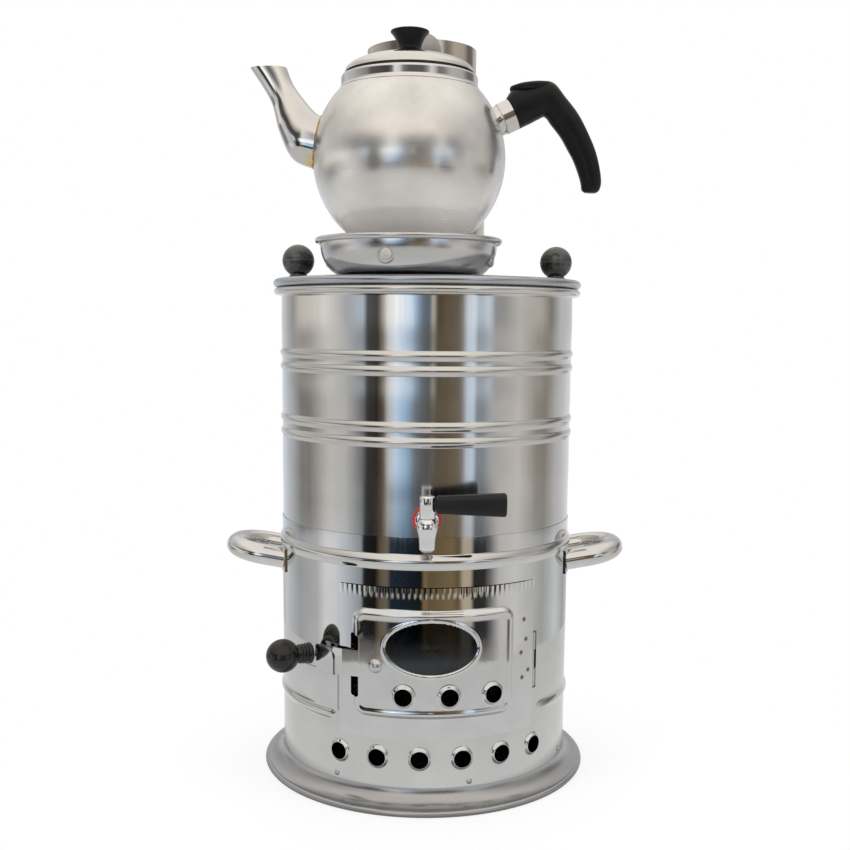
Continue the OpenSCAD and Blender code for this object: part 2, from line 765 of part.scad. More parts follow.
module chimney_pipe() {
    path = concat([[pipe_r, pipe_foot]],
        [for (q = wave(stop_z + 3, 6, 2.4)) [pipe_r + q[0], q[1]]], [[pipe_r, pipe_top]]);
    color([0.74, 0.7, 0.65]) translate([flue_at[0], flue_at[1], 0]) revolved_sheet(path, 0.6);
}

module chimney_tab() {
    tab_r = 16;
    color([0.74, 0.7, 0.65]) translate([flue_at[0] + 1.5, flue_at[1] - pipe_r, pipe_top - 11])
        rotate([90, 0, 0]) cylinder(r = tab_r, h = 1);
}

// ---- teapot stand --------------------------------------------------------------------------

module teapot_stand() {
    top = lid_top + stand_h;
    seat = pot_base - 0.8;
    path = concat([[stand_r - 3.6, top - 4.4], [stand_r - 5.2, top - 10], [stand_r - 7.6, top - 15]],
        arc(stand_r - 21, lid_top + 14, 12.2, 14, -5, -90, 7),
        [[stand_r - 27, lid_top], [stand_r - 32, lid_top + 7], [stand_r - 33.5, seat - 2.6],
         [stand_r - 35.5, seat], [steam_r + 3, seat]]);
    color([0.68, 0.67, 0.65]) translate([pot_at[0], pot_at[1], 0]) difference() {
        union() {
            revolved_sheet(path, -0.8);
            rotate_extrude() {
                translate([stand_r - 2.5, top - 2.5]) circle(r = 2.5, $fn = 40);
                polygon([[stand_r - 4.4, top - 5], [stand_r - 3.6, top - 5], [stand_r - 2.5, top - 2],
                    [stand_r - 4.9, top - 2.5]]);
            }
        }
        for (i = [0:3]) on_side(-14.5 + i * 90, lid_top + 15.6, stand_r - 22)
            cylinder(r = 5.6, h = 30);
    }
}

// ---- teapot --------------------------------------------------------------------------------

module pot_ball(r) {
    translate([pot_at[0], pot_at[1], pot_z]) sphere(r = r, $fn = 128);
}
reach_r = 1.2 * pot_r;
module above(z) {
    translate([pot_at[0] - reach_r, pot_at[1] - reach_r, z]) cube(2 * reach_r);
}
module below(z) {
    translate([pot_at[0] - reach_r, pot_at[1] - reach_r, z - 2 * reach_r]) cube(2 * reach_r);
}

module teapot_body() {
    color([0.8, 0.79, 0.77]) difference() {
        pot_ball(pot_r);
        difference() {
            pot_ball(pot_r - pot_sheet);
            below(pot_base + pot_sheet);
        }
        above(neck_z);
        below(pot_base);
        for (y = [-10, 0, 10], z = [4, 14, 24])
            translate([pot_at[0] - pot_r + 25, pot_at[1] + y, pot_z + z]) rotate([0, -90, 0])
                cylinder(r = 2.5, h = 40);
    }
}

module teapot_neck() {
    path = concat([[neck_r, neck_z]], arc(neck_r - 2.4, neck_top - 2.4, 2.4, 2.4, 0, 90, 5),
        [[mouth_r, neck_top]]);
    color([0.84, 0.84, 0.84]) translate([pot_at[0], pot_at[1], 0]) revolved_sheet(path, pot_sheet);
}

// A section of a lofted piece is [middle x, middle z, half vector x, half vector z, half depth],
// with x counted from the teapot's axis; smooth() adds steps between the given sections
function blend(a, b, c, d, t) = (2 * b + (c - a) * t + (2 * a - 5 * b + 4 * c - d) * t * t
    + (3 * b - a - 3 * c + d) * t * t * t) / 2;
function smooth(s, steps) = concat([for (i = [0:len(s) - 2], k = [0:steps - 1])
    blend(s[max(i - 1, 0)], s[i], s[i + 1], s[min(i + 2, len(s) - 1)], k / steps)], [s[len(s) - 1]]);
function loop(s, shrink, n, e) = [for (i = [0:n - 1]) let (a = 360 * i / n,
    m = norm([s[2], s[3]]), c = sign(cos(a)) * pow(abs(cos(a)), e) * (m - shrink) / m,
    w = sign(sin(a)) * pow(abs(sin(a)), e) * (s[4] - shrink))
    [pot_at[0] + s[0] + c * s[2], pot_at[1] + w, s[1] + c * s[3]]];
// The teapot ball's surface, reached from a point by moving along x
function on_ball(p, r) = [pot_at[0] - sqrt(r * r - pow(p[1] - pot_at[1], 2) - pow(p[2] - pot_z, 2)),
    p[1], p[2]];
// Quads between neighbouring loops of n points, as triangles
function skin(loops, n) = [for (k = [0:loops - 2], i = [0:n - 1]) let (j = (i + 1) % n)
    each [[k * n + i, k * n + j, (k + 1) * n + j], [k * n + i, (k + 1) * n + j, (k + 1) * n + i]]];

module teapot_spout() {
    n = 20;
    wall = 0.9;
    // middle of each section from the ball's leftmost point
    given = [[3.1, 13.5, 3.3, 21.75, 20], [-8.4, 19.6, 9.5, 19.6, 18.5], [-17.6, 34.9, 11, 13, 14.5],
        [-25.9, 54.1, 9.8, 6.6, 11.3], [-37.4, 74.7, 15.3, 0.3, 10.4]];
    rows = smooth([for (s = given) [s[0] - pot_r, s[1] + pot_z, s[2], s[3], s[4]]], 4);
    m = len(rows);
    outer = [for (k = [0:m - 1]) let (l = loop(rows[k], 0, n, 1))
        k == 0 ? [for (p = l) on_ball(p, pot_r + 0.05)] : l];
    inner = [for (k = [0:m - 1]) let (l = loop(rows[k], wall, n, 1))
        k == 0 ? [for (p = l) on_ball(p, pot_r + 0.05)] : l];
    loops = concat(outer, reversed(inner), [outer[0]]);
    color([0.82, 0.81, 0.8]) polyhedron([for (l = concat(outer, reversed(inner))) each l],
        concat(skin(2 * m, n), [for (i = [0:n - 1]) let (j = (i + 1) % n, b = (2 * m - 1) * n)
            each [[b + i, b + j, j], [b + i, j, i]]]));
}

ferrule_a = 23.33;                        // where the ferrule leaves the ball, above its middle
ferrule_turn = 25.8;                      // how steeply it rises
ferrule_at = [(pot_r + 0.5) * cos(ferrule_a), pot_z + (pot_r + 0.5) * sin(ferrule_a)];
ferrule_l = 13.7;

// Children drawn with +Z along the handle's ferrule, from where it leaves the teapot
module on_ferrule() {
    translate([pot_at[0] + ferrule_at[0], pot_at[1], ferrule_at[1]])
        rotate([0, 90 - ferrule_turn, 0]) children();
}

module handle_ferrule() {
    color([0.8, 0.8, 0.8]) difference() {
        on_ferrule() difference() {
            union() {
                translate([0, 0, -14]) cylinder(r = 12.6, h = 20);
                translate([0, 0, 3.4]) cylinder(r = 13.5, h = ferrule_l - 3.4);
            }
            translate([0, 0, -15]) cylinder(r = 11.8, h = 40);
        }
        pot_ball(pot_r + 0.02);
    }
}

module handle_stud() {
    color([0.6, 0.6, 0.6]) difference() {
        on_ferrule() {
            translate([0, 0, -10]) cylinder(r = 2.5, h = 10 + ferrule_l + 14);
            translate([0, 0, 3]) cylinder(r = 11.8 - fit, h = 1.5);
        }
        pot_ball(pot_r + 0.02);
    }
}

module teapot_handle() {
    n = 20;
    // middle of each section from the foot of the ferrule
    given = [[12.6, 6.5, -6.3, 12.2, 12.8], [17.5, 11.2, -5.8, 14.8, 13.2],
        [25.7, 14.2, -2.6, 15.4, 12.8], [35.3, 17.8, 0.4, 15.6, 12.2], [43.3, 17.8, 3.4, 14, 11.6],
        [51.3, 8.6, 5.6, 11.8, 11], [60.9, -3.2, 7.5, 9.5, 10.6], [68.7, -16.8, 9.3, 5.9, 10.2],
        [74.6, -28.8, 9.8, 3.2, 9.8], [78.7, -41.4, 9.5, 1.3, 9.4], [80.7, -51.1, 8.8, 0.1, 8.8],
        [80.4, -57, 7.6, -0.2, 7.4], [80.2, -59.2, 5, -0.2, 5]];
    rows = smooth([for (s = given) [s[0] + ferrule_at[0], s[1] + ferrule_at[1], s[2], s[3], s[4]]], 2);
    m = len(rows);
    loops = [for (s = rows) loop(s, 0, n, 0.8)];
    color([0.09, 0.09, 0.09]) difference() {
        polyhedron([for (l = loops) each l], concat(skin(m, n), [[for (i = [n - 1:-1:0]) i]],
            [[for (i = [0:n - 1]) (m - 1) * n + i]]));
        on_ferrule() translate([0, 0, ferrule_l - 4]) cylinder(r = 2.5 + fit, h = 18.3);
        on_ferrule() translate([0, 0, ferrule_l - 20]) cylinder(r = 16, h = 20.02);
    }
}

module teapot_lid() {
    rim = lid_seat + 0.8;
    dome = [for (i = [0:16]) let (a = 90 * i / 16)
        [max(2.3, (pot_lid_r - 0.4) * cos(a)), rim + 0.4 + dome_h * sin(a)]];
    path = concat([[pot_lid_r, lid_seat], [pot_lid_r + 0.1, rim]], dome);
    color([0.8, 0.79, 0.77]) translate([pot_at[0], pot_at[1], 0]) {
        revolved_sheet(path, 0.8);
        translate([0, 0, neck_top - 7]) ring(mouth_r - 0.8, mouth_r - 1.6, lid_seat - neck_top + 9.5);
        translate([0, 0, lid_seat]) ring(pot_lid_r, mouth_r - 1.6, 0.8);
    }
}

module lid_handle() {
    z = knob_foot + 0.1;
    color([0.08, 0.08, 0.08]) translate([pot_at[0], pot_at[1], 0]) difference() {
        rotate_extrude() polygon([[0, z], [12.6, z], [13.2, z + 0.8], [12.4, z + 2.2], [10.4, z + 3.6],
            [9.8, z + 5.4], [10.2, z + 7.6], [12, z + 12], [14.6, z + 16], [16.4, z + 17.8],
            [16.3, z + 18.8], [15.6, z + 19.4], [0, z + 19.4]]);
        translate([0, 0, z - 1]) cylinder(r = 2 + fit, h = 11);
    }
}

module lid_handle_screw() {
    color([0.6, 0.6, 0.6]) translate([pot_at[0], pot_at[1], knob_foot - 0.8 - 2.6]) {
        cylinder(r = 4, h = 2);
        cylinder(r = 2, h = 11);
    }
}

// ---- what is drawn -------------------------------------------------------------------------

base_ring();
base_screws();
ash_pan();
fire_shell();
grate_brackets();
fire_grate();
tank_shell();
tank_bottom();
flue_tube();
handle_feet();
handle_left();
handle_right();
tap_gasket();
tap_body();
tap_nut();
tap_plug();
tap_lever();
hinge_leaf_fixed();
hinge_pin();
door_plate();
hinge_leaf_door();
latch_catch();
latch_rivet();
latch_strap();
latch_stud();
latch_knob();
tank_lid();
lid_knobs();
lid_knob_screws();
chimney_collar();
chimney_pipe();
chimney_tab();
teapot_stand();
teapot_body();
teapot_neck();
teapot_spout();
handle_ferrule();
handle_stud();
teapot_handle();
teapot_lid();
lid_handle();
lid_handle_screw();
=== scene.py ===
import math
import bmesh
import bpy
import numpy as np
from mathutils import Matrix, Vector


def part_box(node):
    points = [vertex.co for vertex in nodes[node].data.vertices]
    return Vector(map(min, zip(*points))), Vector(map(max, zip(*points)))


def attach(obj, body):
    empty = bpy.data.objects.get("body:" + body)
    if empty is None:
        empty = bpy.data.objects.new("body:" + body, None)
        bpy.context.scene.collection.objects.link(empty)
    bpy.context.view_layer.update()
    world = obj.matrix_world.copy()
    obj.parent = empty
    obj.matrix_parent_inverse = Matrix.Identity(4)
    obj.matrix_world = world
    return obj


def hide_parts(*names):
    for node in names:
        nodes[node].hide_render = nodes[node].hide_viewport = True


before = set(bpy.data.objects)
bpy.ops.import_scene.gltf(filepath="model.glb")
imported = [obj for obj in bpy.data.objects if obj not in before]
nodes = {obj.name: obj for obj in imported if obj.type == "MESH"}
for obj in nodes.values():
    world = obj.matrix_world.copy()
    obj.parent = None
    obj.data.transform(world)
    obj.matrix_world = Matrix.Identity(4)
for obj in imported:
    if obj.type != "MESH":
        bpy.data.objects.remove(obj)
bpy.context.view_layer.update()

# ---------------------------------------------------------------- base ring
# The flared foot the samovar stands on, pressed from satin stainless sheet and
# rolled under at its rim. Its upright collar reaches up inside the fire shell.
BASE_COLLAR_R, BASE_COLLAR_TOP = 135.0, 33
BASE_FLARE_Z = 19.3
BASE_SHEET = 0.8
HEM_R, HEM_AT = 2.7, 151.0


def skin(name, grid, around=True, along=True, crease=38):
    """Mesh over a grid of points in millimetres, rows by columns: each cell is one quad.
    around joins the last column to the first, along the last row to the first."""
    rows, cols = grid.shape[:2]
    ids = np.arange(rows * cols).reshape(rows, cols)
    if around:
        ids = np.concatenate([ids, ids[:, :1]], axis=1)
    if along:
        ids = np.concatenate([ids, ids[:1]], axis=0)
    quads = np.stack([ids[:-1, :-1], ids[:-1, 1:], ids[1:, 1:], ids[1:, :-1]], axis=-1).reshape(-1, 4)
    return shell_mesh(name, grid.reshape(-1, 3), quads, crease)


def shell_mesh(name, points, quads, crease=38):
    """Object at the origin from points in millimetres and quads. Doubled points at poles are merged,
    and edges sharper than crease degrees stay crisp."""
    mesh = bpy.data.meshes.new(name)
    mesh.from_pydata((points * 0.001).tolist(), [], quads.tolist())
    work = bmesh.new()
    work.from_mesh(mesh)
    bmesh.ops.remove_doubles(work, verts=work.verts, dist=2e-6)
    if all(len(e.link_faces) == 2 for e in work.edges) and work.calc_volume(signed=True) < 0:
        bmesh.ops.reverse_faces(work, faces=work.faces)
    work.to_mesh(mesh)
    work.free()
    mesh.polygons.foreach_set("use_smooth", np.ones(len(mesh.polygons), bool))
    mesh.set_sharp_from_angle(angle=math.radians(crease))
    mesh.update()
    piece = bpy.data.objects.new(name, mesh)
    bpy.context.scene.collection.objects.link(piece)
    return piece


def arc_points(cx, cz, r, start, end, steps):
    """Points on a circle or ellipse (r a number or a pair) round (cx, cz), from start to end degrees."""
    a = np.radians(np.linspace(start, end, steps))
    rx, rz = (r, r) if np.isscalar(r) else r
    return np.stack([cx + rx * np.cos(a), cz + rz * np.sin(a)], axis=1)


def joined(*parts):
    """One path from several lists of points."""
    return np.concatenate([np.atleast_2d(np.array(p, float)) for p in parts])


def beside(path, t):
    """The path moved t millimetres to its left, by its own turning direction."""
    run = np.gradient(path, axis=0)
    run /= np.linalg.norm(run, axis=1, keepdims=True)
    return path + t * np.stack([-run[:, 1], run[:, 0]], axis=1)


def turned(path, at=(0, 0), turns=256):
    """Grid for a path of (radius, height) turned once round an upright axis at (x, y)."""
    a = np.linspace(0, 2 * np.pi, turns, endpoint=False)
    r, z = path[:, :1], path[:, 1:]
    return np.stack([at[0] + r * np.sin(a), at[1] - r * np.cos(a), z + 0 * a], axis=-1)


def fit(piece, finish, body, slot, *cad_nodes):
    """Gives a piece its finish and the body it moves with, and hides the CAD nodes it stands for. The slot is
    not used.
    """
    piece.data.materials.clear()
    piece.data.materials.append(finish)
    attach(piece, body)
    if cad_nodes:
        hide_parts(*cad_nodes)


def bare_metal(name, colour, shine, grain=(600, 600, 10), grain_cut=0.25, dents=(9, 9, 9), dent_cut=0.0,
               cloud=(0.92, 1.05), cloud_size=14, around_axis=None, brushed=0.0, pure=1.0, marks=(),
               worn=None):
    """Bare metal. The roughness wanders between the two values of shine with fine streaky noise, and slow
    noise shades the colour and bends the surface. around_axis at (x, y) makes the streaks run round that
    upright axis. brushed draws reflections out upwards. Each of marks is (colour, centre, radius, fade).
    worn is (height, height, roughness, metallic): below the first height the metal is that dull, above the
    second it isn't."""
    mat = bpy.data.materials.new(name)
    mat.use_nodes = True
    tree = mat.node_tree
    add, link = tree.nodes.new, tree.links.new
    body = tree.nodes["Principled BSDF"]
    body.inputs["Metallic"].default_value = pure
    if brushed:
        body.inputs["Anisotropic"].default_value = brushed
        body.inputs["Anisotropic Rotation"].default_value = 0.25
        lines = add("ShaderNodeTangent")
        lines.direction_type = "RADIAL"
        lines.axis = "Z"
        link(lines.outputs[0], body.inputs["Tangent"])
    place = add("ShaderNodeTexCoord").outputs["Object"]
    where = place
    if around_axis is not None:
        shift = add("ShaderNodeVectorMath")
        shift.operation = "SUBTRACT"
        shift.inputs[1].default_value = (around_axis[0] * 0.001, around_axis[1] * 0.001, 0)
        link(place, shift.inputs[0])
        split = add("ShaderNodeSeparateXYZ")
        link(shift.outputs[0], split.inputs[0])
        turn = add("ShaderNodeMath")
        turn.operation = "ARCTAN2"
        link(split.outputs["X"], turn.inputs[0])
        link(split.outputs["Y"], turn.inputs[1])
        flat = add("ShaderNodeCombineXYZ")
        link(split.outputs["X"], flat.inputs["X"])
        link(split.outputs["Y"], flat.inputs["Y"])
        reach = add("ShaderNodeVectorMath")
        reach.operation = "LENGTH"
        link(flat.outputs[0], reach.inputs[0])
        polar = add("ShaderNodeCombineXYZ")
        link(reach.outputs["Value"], polar.inputs["X"])
        link(turn.outputs[0], polar.inputs["Y"])
        link(split.outputs["Z"], polar.inputs["Z"])
        where = polar.outputs[0]

    def noise(source, scale, detail=3.0, rough=0.5):
        stretch = add("ShaderNodeMapping")
        stretch.inputs["Scale"].default_value = scale
        link(source, stretch.inputs["Vector"])
        tex = add("ShaderNodeTexNoise")
        tex.inputs["Scale"].default_value = 1.0
        tex.inputs["Detail"].default_value = detail
        tex.inputs["Roughness"].default_value = rough
        link(stretch.outputs[0], tex.inputs["Vector"])
        return tex.outputs["Fac"]

    def spread(value, low, high, out_low, out_high):
        band = add("ShaderNodeMapRange")
        for key, number in zip(("From Min", "From Max", "To Min", "To Max"), (low, high, out_low, out_high)):
            band.inputs[key].default_value = number
        link(value, band.inputs["Value"])
        return band.outputs["Result"]

    streaks = noise(where, grain, 4.0, 0.6)
    clouds = noise(place, (cloud_size,) * 3, 3.0, 0.55)
    # roughness: streaks and clouds together
    rough_a = spread(streaks, 0.3, 0.7, shine[0], shine[1])
    rough_b = spread(clouds, 0.35, 0.65, -0.15 * shine[0], 0.15 * shine[0])
    total = add("ShaderNodeMath")
    link(rough_a, total.inputs[0])
    link(rough_b, total.inputs[1])
    link(total.outputs[0], body.inputs["Roughness"])
    if worn:
        low, high, dull, metallic = worn
        fade = (low * 0.001, high * 0.001)
        upright = add("ShaderNodeSeparateXYZ")
        link(place, upright.inputs[0])
        link(spread(upright.outputs["Z"], *fade, metallic, pure), body.inputs["Metallic"])
        duller = add("ShaderNodeMath")
        link(total.outputs[0], duller.inputs[0])
        link(spread(upright.outputs["Z"], *fade, dull - shine[0], 0), duller.inputs[1])
        link(duller.outputs[0], body.inputs["Roughness"])
    # colour: the plain colour, a little lighter and darker in clouds
    dark = tuple(c * cloud[0] for c in colour)
    light = tuple(min(1.0, c * cloud[1]) for c in colour)
    shade = add("ShaderNodeMix")
    shade.data_type = "RGBA"
    shade.inputs["A"].default_value = (*dark, 1)
    shade.inputs["B"].default_value = (*light, 1)
    link(spread(clouds, 0.3, 0.7, 0, 1), shade.inputs["Factor"])
    out_colour = shade.outputs["Result"]
    for tint, centre, radius, fade in marks:
        stain = add("ShaderNodeMix")
        stain.data_type = "RGBA"
        link(out_colour, stain.inputs["A"])
        stain.inputs["B"].default_value = (*tint, 1)
        away = add("ShaderNodeVectorMath")
        away.operation = "DISTANCE"
        link(place, away.inputs[0])
        away.inputs[1].default_value = tuple(v * 0.001 for v in centre)
        near, far = radius * 0.001, (radius + fade) * 0.001
        link(spread(away.outputs["Value"], near, far, 1, 0), stain.inputs["Factor"])
        out_colour = stain.outputs["Result"]
    link(out_colour, body.inputs["Base Color"])
    # surface: slow unevenness, then the grain on top
    normal = None
    if dent_cut:
        slow = add("ShaderNodeBump")
        slow.inputs["Strength"].default_value = 1.0
        slow.inputs["Distance"].default_value = dent_cut * 0.001
        link(noise(place, dents, 2.0, 0.5), slow.inputs["Height"])
        normal = slow.outputs["Normal"]
    fine = add("ShaderNodeBump")
    fine.inputs["Strength"].default_value = grain_cut
    fine.inputs["Distance"].default_value = 0.00005
    link(streaks, fine.inputs["Height"])
    if normal:
        link(normal, fine.inputs["Normal"])
    link(fine.outputs["Normal"], body.inputs["Normal"])
    return mat


base_satin = bare_metal("base_satin", (0.41, 0.412, 0.418), (0.2, 0.3), grain=(1400, 3, 1400), grain_cut=0.35,
                        around_axis=(0, 0), cloud=(0.9, 1.06), cloud_size=10)
flare_reach = (HEM_AT - BASE_COLLAR_R, BASE_FLARE_Z - 2 * HEM_R + 0.35)
flare = arc_points(HEM_AT, BASE_FLARE_Z, flare_reach, 180, 268, 22)
outer = joined((BASE_COLLAR_R, BASE_COLLAR_TOP), (BASE_COLLAR_R, 26), (BASE_COLLAR_R, 20.4), flare)
inner = beside(outer, -BASE_SHEET)
hem = arc_points(HEM_AT, HEM_R, HEM_R, 84, -62, 22)
hem_under = arc_points(HEM_AT, HEM_R, HEM_R, -118, -250, 20)
section = joined(outer, hem, (HEM_AT + 1.27, 0.02), (HEM_AT + 1.2, 0), (HEM_AT - 1.2, 0),
                 (HEM_AT - 1.27, 0.02), hem_under, inner[::-1])
fit(skin("foot_ring", turned(section[::-1], turns=320)), base_satin, "body", "base_steel", "base_ring")

# ---------------------------------------------------------------- ash pan, grate and brackets
# The firebox floor: a plain steel pan on the base collar, and a sooty cast grate
# with long slots that rests on four bent brackets welded inside the shell.
plain_steel = bare_metal("plain_steel", (0.42, 0.41, 0.4), (0.34, 0.5), grain=(300, 300, 300), grain_cut=0.3,
                         cloud=(0.75, 1.1), cloud_size=30)


def cast(name, colour, size=900, depth=0.4):
    """Rough cast iron: dark metal with a pitted skin."""
    mat = bpy.data.materials.new(name)
    mat.use_nodes = True
    tree = mat.node_tree
    body = tree.nodes["Principled BSDF"]
    body.inputs["Metallic"].default_value = 0.6
    place = tree.nodes.new("ShaderNodeTexCoord").outputs["Object"]
    pits = tree.nodes.new("ShaderNodeTexNoise")
    pits.inputs["Scale"].default_value = size
    pits.inputs["Detail"].default_value = 4
    tree.links.new(place, pits.inputs["Vector"])
    tone = tree.nodes.new("ShaderNodeMix")
    tone.data_type = "RGBA"
    tone.inputs["A"].default_value = (*[c * 0.6 for c in colour], 1)
    tone.inputs["B"].default_value = (*[c * 1.4 for c in colour], 1)
    tree.links.new(pits.outputs["Fac"], tone.inputs["Factor"])
    tree.links.new(tone.outputs["Result"], body.inputs["Base Color"])
    rough = tree.nodes.new("ShaderNodeMapRange")
    rough.inputs["To Min"].default_value = 0.55
    rough.inputs["To Max"].default_value = 0.85
    tree.links.new(pits.outputs["Fac"], rough.inputs["Value"])
    tree.links.new(rough.outputs["Result"], body.inputs["Roughness"])
    bump = tree.nodes.new("ShaderNodeBump")
    bump.inputs["Strength"].default_value = depth
    bump.inputs["Distance"].default_value = 0.0004
    tree.links.new(pits.outputs["Fac"], bump.inputs["Height"])
    tree.links.new(bump.outputs["Normal"], body.inputs["Normal"])
    return mat


def dress(node, finish):
    """A CAD node keeps its own mesh and takes this finish."""
    nodes[node].data.materials.clear()
    nodes[node].data.materials.append(finish)


dress("ash_pan", plain_steel)
dress("grate_brackets", plain_steel)
dress("fire_grate", cast("grate_iron", (0.06, 0.055, 0.05)))

# ---------------------------------------------------------------- fire shell
# The lower shell, rolled from bright thin stainless. It has a big pressed bead, a low bead that
# stops at the door, six air vents with drawn lips, and the door opening with a hinge notch.
FIRE_R = 135.65
FIRE_Z1, FIRE_Z2 = 19.5, 239.8
SHEET = 0.6
BIG_BEAD, LOW_BEAD = (218.4, 12.8, 2.8), (76.5, 9, 2.0)
LOW_BEAD_GAP_A, LOW_BEAD_GAP_HALF = 6, 40.8
VENTS, VENT_AT, VENT_STEP, VENT_Z, VENT_R = 6, -33.3, 15.65, 45.5, 7.7
VENT_BLOCK = 12.5
VENT_RINGS = (12.1, 11.6, 11, 10.4, 9.8, 9.2, 8.7, 8.3, 8.0, 7.8, VENT_R)
LIP_RISE, LIP_FOOT = 2.6, 3.2
OPENING_A1, OPENING_A2, OPENING_Z1, OPENING_Z2 = -30.6, 40, 68, 196.8
NOTCH_A2, NOTCH_Z1, NOTCH_Z2 = 46.6, 97, 149
DEG = math.pi / 180


def ruled(start, *spans):
    """Grid values from start on. Each span is (steps, end): that many even steps on, up to that end."""
    lines = [start]
    for steps, end in spans:
        lines.extend(np.linspace(lines[-1], end, steps + 1)[1:])
    return np.array(lines, float)


def pierced(us, vs, holes, gaps=()):
    """Quads over the lines us (degrees) and vs (millimetres), without the cells in gaps, each given as
    (u from, u to, v from, v to). A hole is (block, centre, half core, scale, rings): its block of cells is
    filled with rings that go from the block's edge to a rounded outline, each at its own distance from the
    core."""
    def line(lines, value):
        return int(np.argmin(abs(lines - value)))

    ids = np.arange(len(us) * len(vs)).reshape(len(vs), len(us))
    points = np.stack(np.meshgrid(us, vs), axis=-1).reshape(-1, 2)
    keep = np.ones((len(vs) - 1, len(us) - 1), bool)
    for u1, u2, v1, v2 in gaps:
        keep[line(vs, v1):line(vs, v2), line(us, u1):line(us, u2)] = False
    quads = []
    for block, centre, core, scale, rings in holes:
        i1, i2, j1, j2 = line(us, block[0]), line(us, block[1]), line(vs, block[2]), line(vs, block[3])
        keep[j1:j2, i1:i2] = False
        edge = np.concatenate([ids[j1, i1:i2], ids[j1:j2, i2], ids[j2, i2:i1:-1], ids[j2:j1:-1, i1]])
        flat = (points[edge] - centre) * (scale, 1)
        inside = np.clip(flat, -np.array(core), core)
        away = (flat - inside) / np.linalg.norm(flat - inside, axis=1, keepdims=True)
        last = edge
        for ring in rings:
            new = len(points) + np.arange(len(edge))
            points = np.concatenate([points, centre + (inside + ring * away) / (scale, 1)])
            quads.append(np.stack([last, np.roll(last, -1), np.roll(new, -1), new], axis=1))
            last = new
    cells = np.stack([ids[:-1, :-1], ids[:-1, 1:], ids[1:, 1:], ids[1:, :-1]], axis=-1)[keep]
    quads = np.concatenate([cells] + quads)
    used, quads = np.unique(quads, return_inverse=True)
    return points[used], quads.reshape(-1, 4)


def on_round(points, radius):
    """Places (degrees from the front, height) points at a radius, a number or one for each."""
    a = points[:, 0] * DEG
    return np.stack([radius * np.sin(a), -radius * np.cos(a), points[:, 1]], axis=1)


def eased(x):
    """0 below 0, 1 above 1, and a smooth S between."""
    x = np.clip(x, 0, 1)
    return x * x * (3 - 2 * x)


def bead(z, middle, height, rise):
    """A half sine wave of that height and rise round the middle."""
    x = (z - middle) / height
    return np.where(abs(x) < 0.5, rise * np.cos(np.pi * np.clip(x, -0.5, 0.5)), 0)


def lip(distance, radius, rise, foot):
    """Height of a drawn lip: full at the hole's edge and falling to nothing over foot."""
    return rise * (1 - eased((distance - radius) / foot)) ** 1.3


def settled(piece, crease):
    """Keeps what a piece's modifiers make as its mesh, with edges sharper than crease degrees crisp."""
    graph = bpy.context.evaluated_depsgraph_get()
    mesh = bpy.data.meshes.new_from_object(piece.evaluated_get(graph))
    piece.modifiers.clear()
    piece.data = mesh
    mesh.set_sharp_from_angle(angle=math.radians(crease))
    return piece


def thickened(piece, thickness, crease=38):
    """Gives a sheet its thickness, on its inner side."""
    solid = piece.modifiers.new("sheet", "SOLIDIFY")
    solid.thickness = thickness * 0.001
    solid.offset = -1
    solid.use_even_offset = True
    return settled(piece, crease)


half = VENT_BLOCK / FIRE_R / DEG
one = np.concatenate([np.linspace(-half, half, 13)[:-1], np.linspace(half, VENT_STEP - half, 6)[:-1]])
first, last = VENT_AT - half, VENT_AT + VENTS * VENT_STEP - half
us = np.concatenate([*[VENT_AT + k * VENT_STEP + one for k in range(VENTS)],
                     np.linspace(last, first + 360, 161)])
vs = ruled(FIRE_Z1, (4, VENT_Z - VENT_BLOCK), (12, VENT_Z + VENT_BLOCK), (3, OPENING_Z1), (1, 70), (1, 71.8),
           (10, 81.2), (1, 85), (3, NOTCH_Z1), (1, 101), (12, NOTCH_Z2), (1, 153), (11, OPENING_Z2), (1, 200),
           (1, 206), (1, 210), (1, 211.3), (1, 211.8), (22, 225), (1, 225.5), (1, 228), (1, 234),
           (1, FIRE_Z2))
vents = VENT_AT + VENT_STEP * np.arange(VENTS)
holes = [((v - half, v + half, VENT_Z - VENT_BLOCK, VENT_Z + VENT_BLOCK), (v, VENT_Z), (0, 0), FIRE_R * DEG,
          VENT_RINGS) for v in vents]
opening = (OPENING_A1, OPENING_A2, OPENING_Z1, OPENING_Z2)
notch = (OPENING_A2, NOTCH_A2, NOTCH_Z1, NOTCH_Z2)
flat, quads = pierced(us, vs, holes, gaps=[opening, notch])
distance = np.hypot((flat[:, :1] - vents) * FIRE_R * DEG, flat[:, 1:] - VENT_Z).min(axis=1)
rise = lip(distance, VENT_R, LIP_RISE, LIP_FOOT)
rise = rise + bead(flat[:, 1], *BIG_BEAD)
low_ends = eased((abs((flat[:, 0] + 180 - LOW_BEAD_GAP_A) % 360 - 180) - LOW_BEAD_GAP_HALF) / 3)
rise = rise + bead(flat[:, 1], *LOW_BEAD) * low_ends
fire_bright = bare_metal("fire_bright", (0.62, 0.62, 0.61), (0.03, 0.06), grain=(420, 420, 14),
                         grain_cut=0.08, dents=(26, 26, 17), dent_cut=0.11, cloud=(0.93, 1.03), cloud_size=24)
lower_shell = shell_mesh("lower_shell", on_round(flat, FIRE_R + rise), quads)
fit(thickened(lower_shell, SHEET), fire_bright, "body", "fire_shell_steel", "fire_shell")
screw_steel = bare_metal("screw_steel", (0.55, 0.55, 0.54), (0.18, 0.3), grain=(900, 900, 900), grain_cut=0.2,
                         cloud=(0.85, 1.05), cloud_size=60)
dress("base_screws", screw_steel)

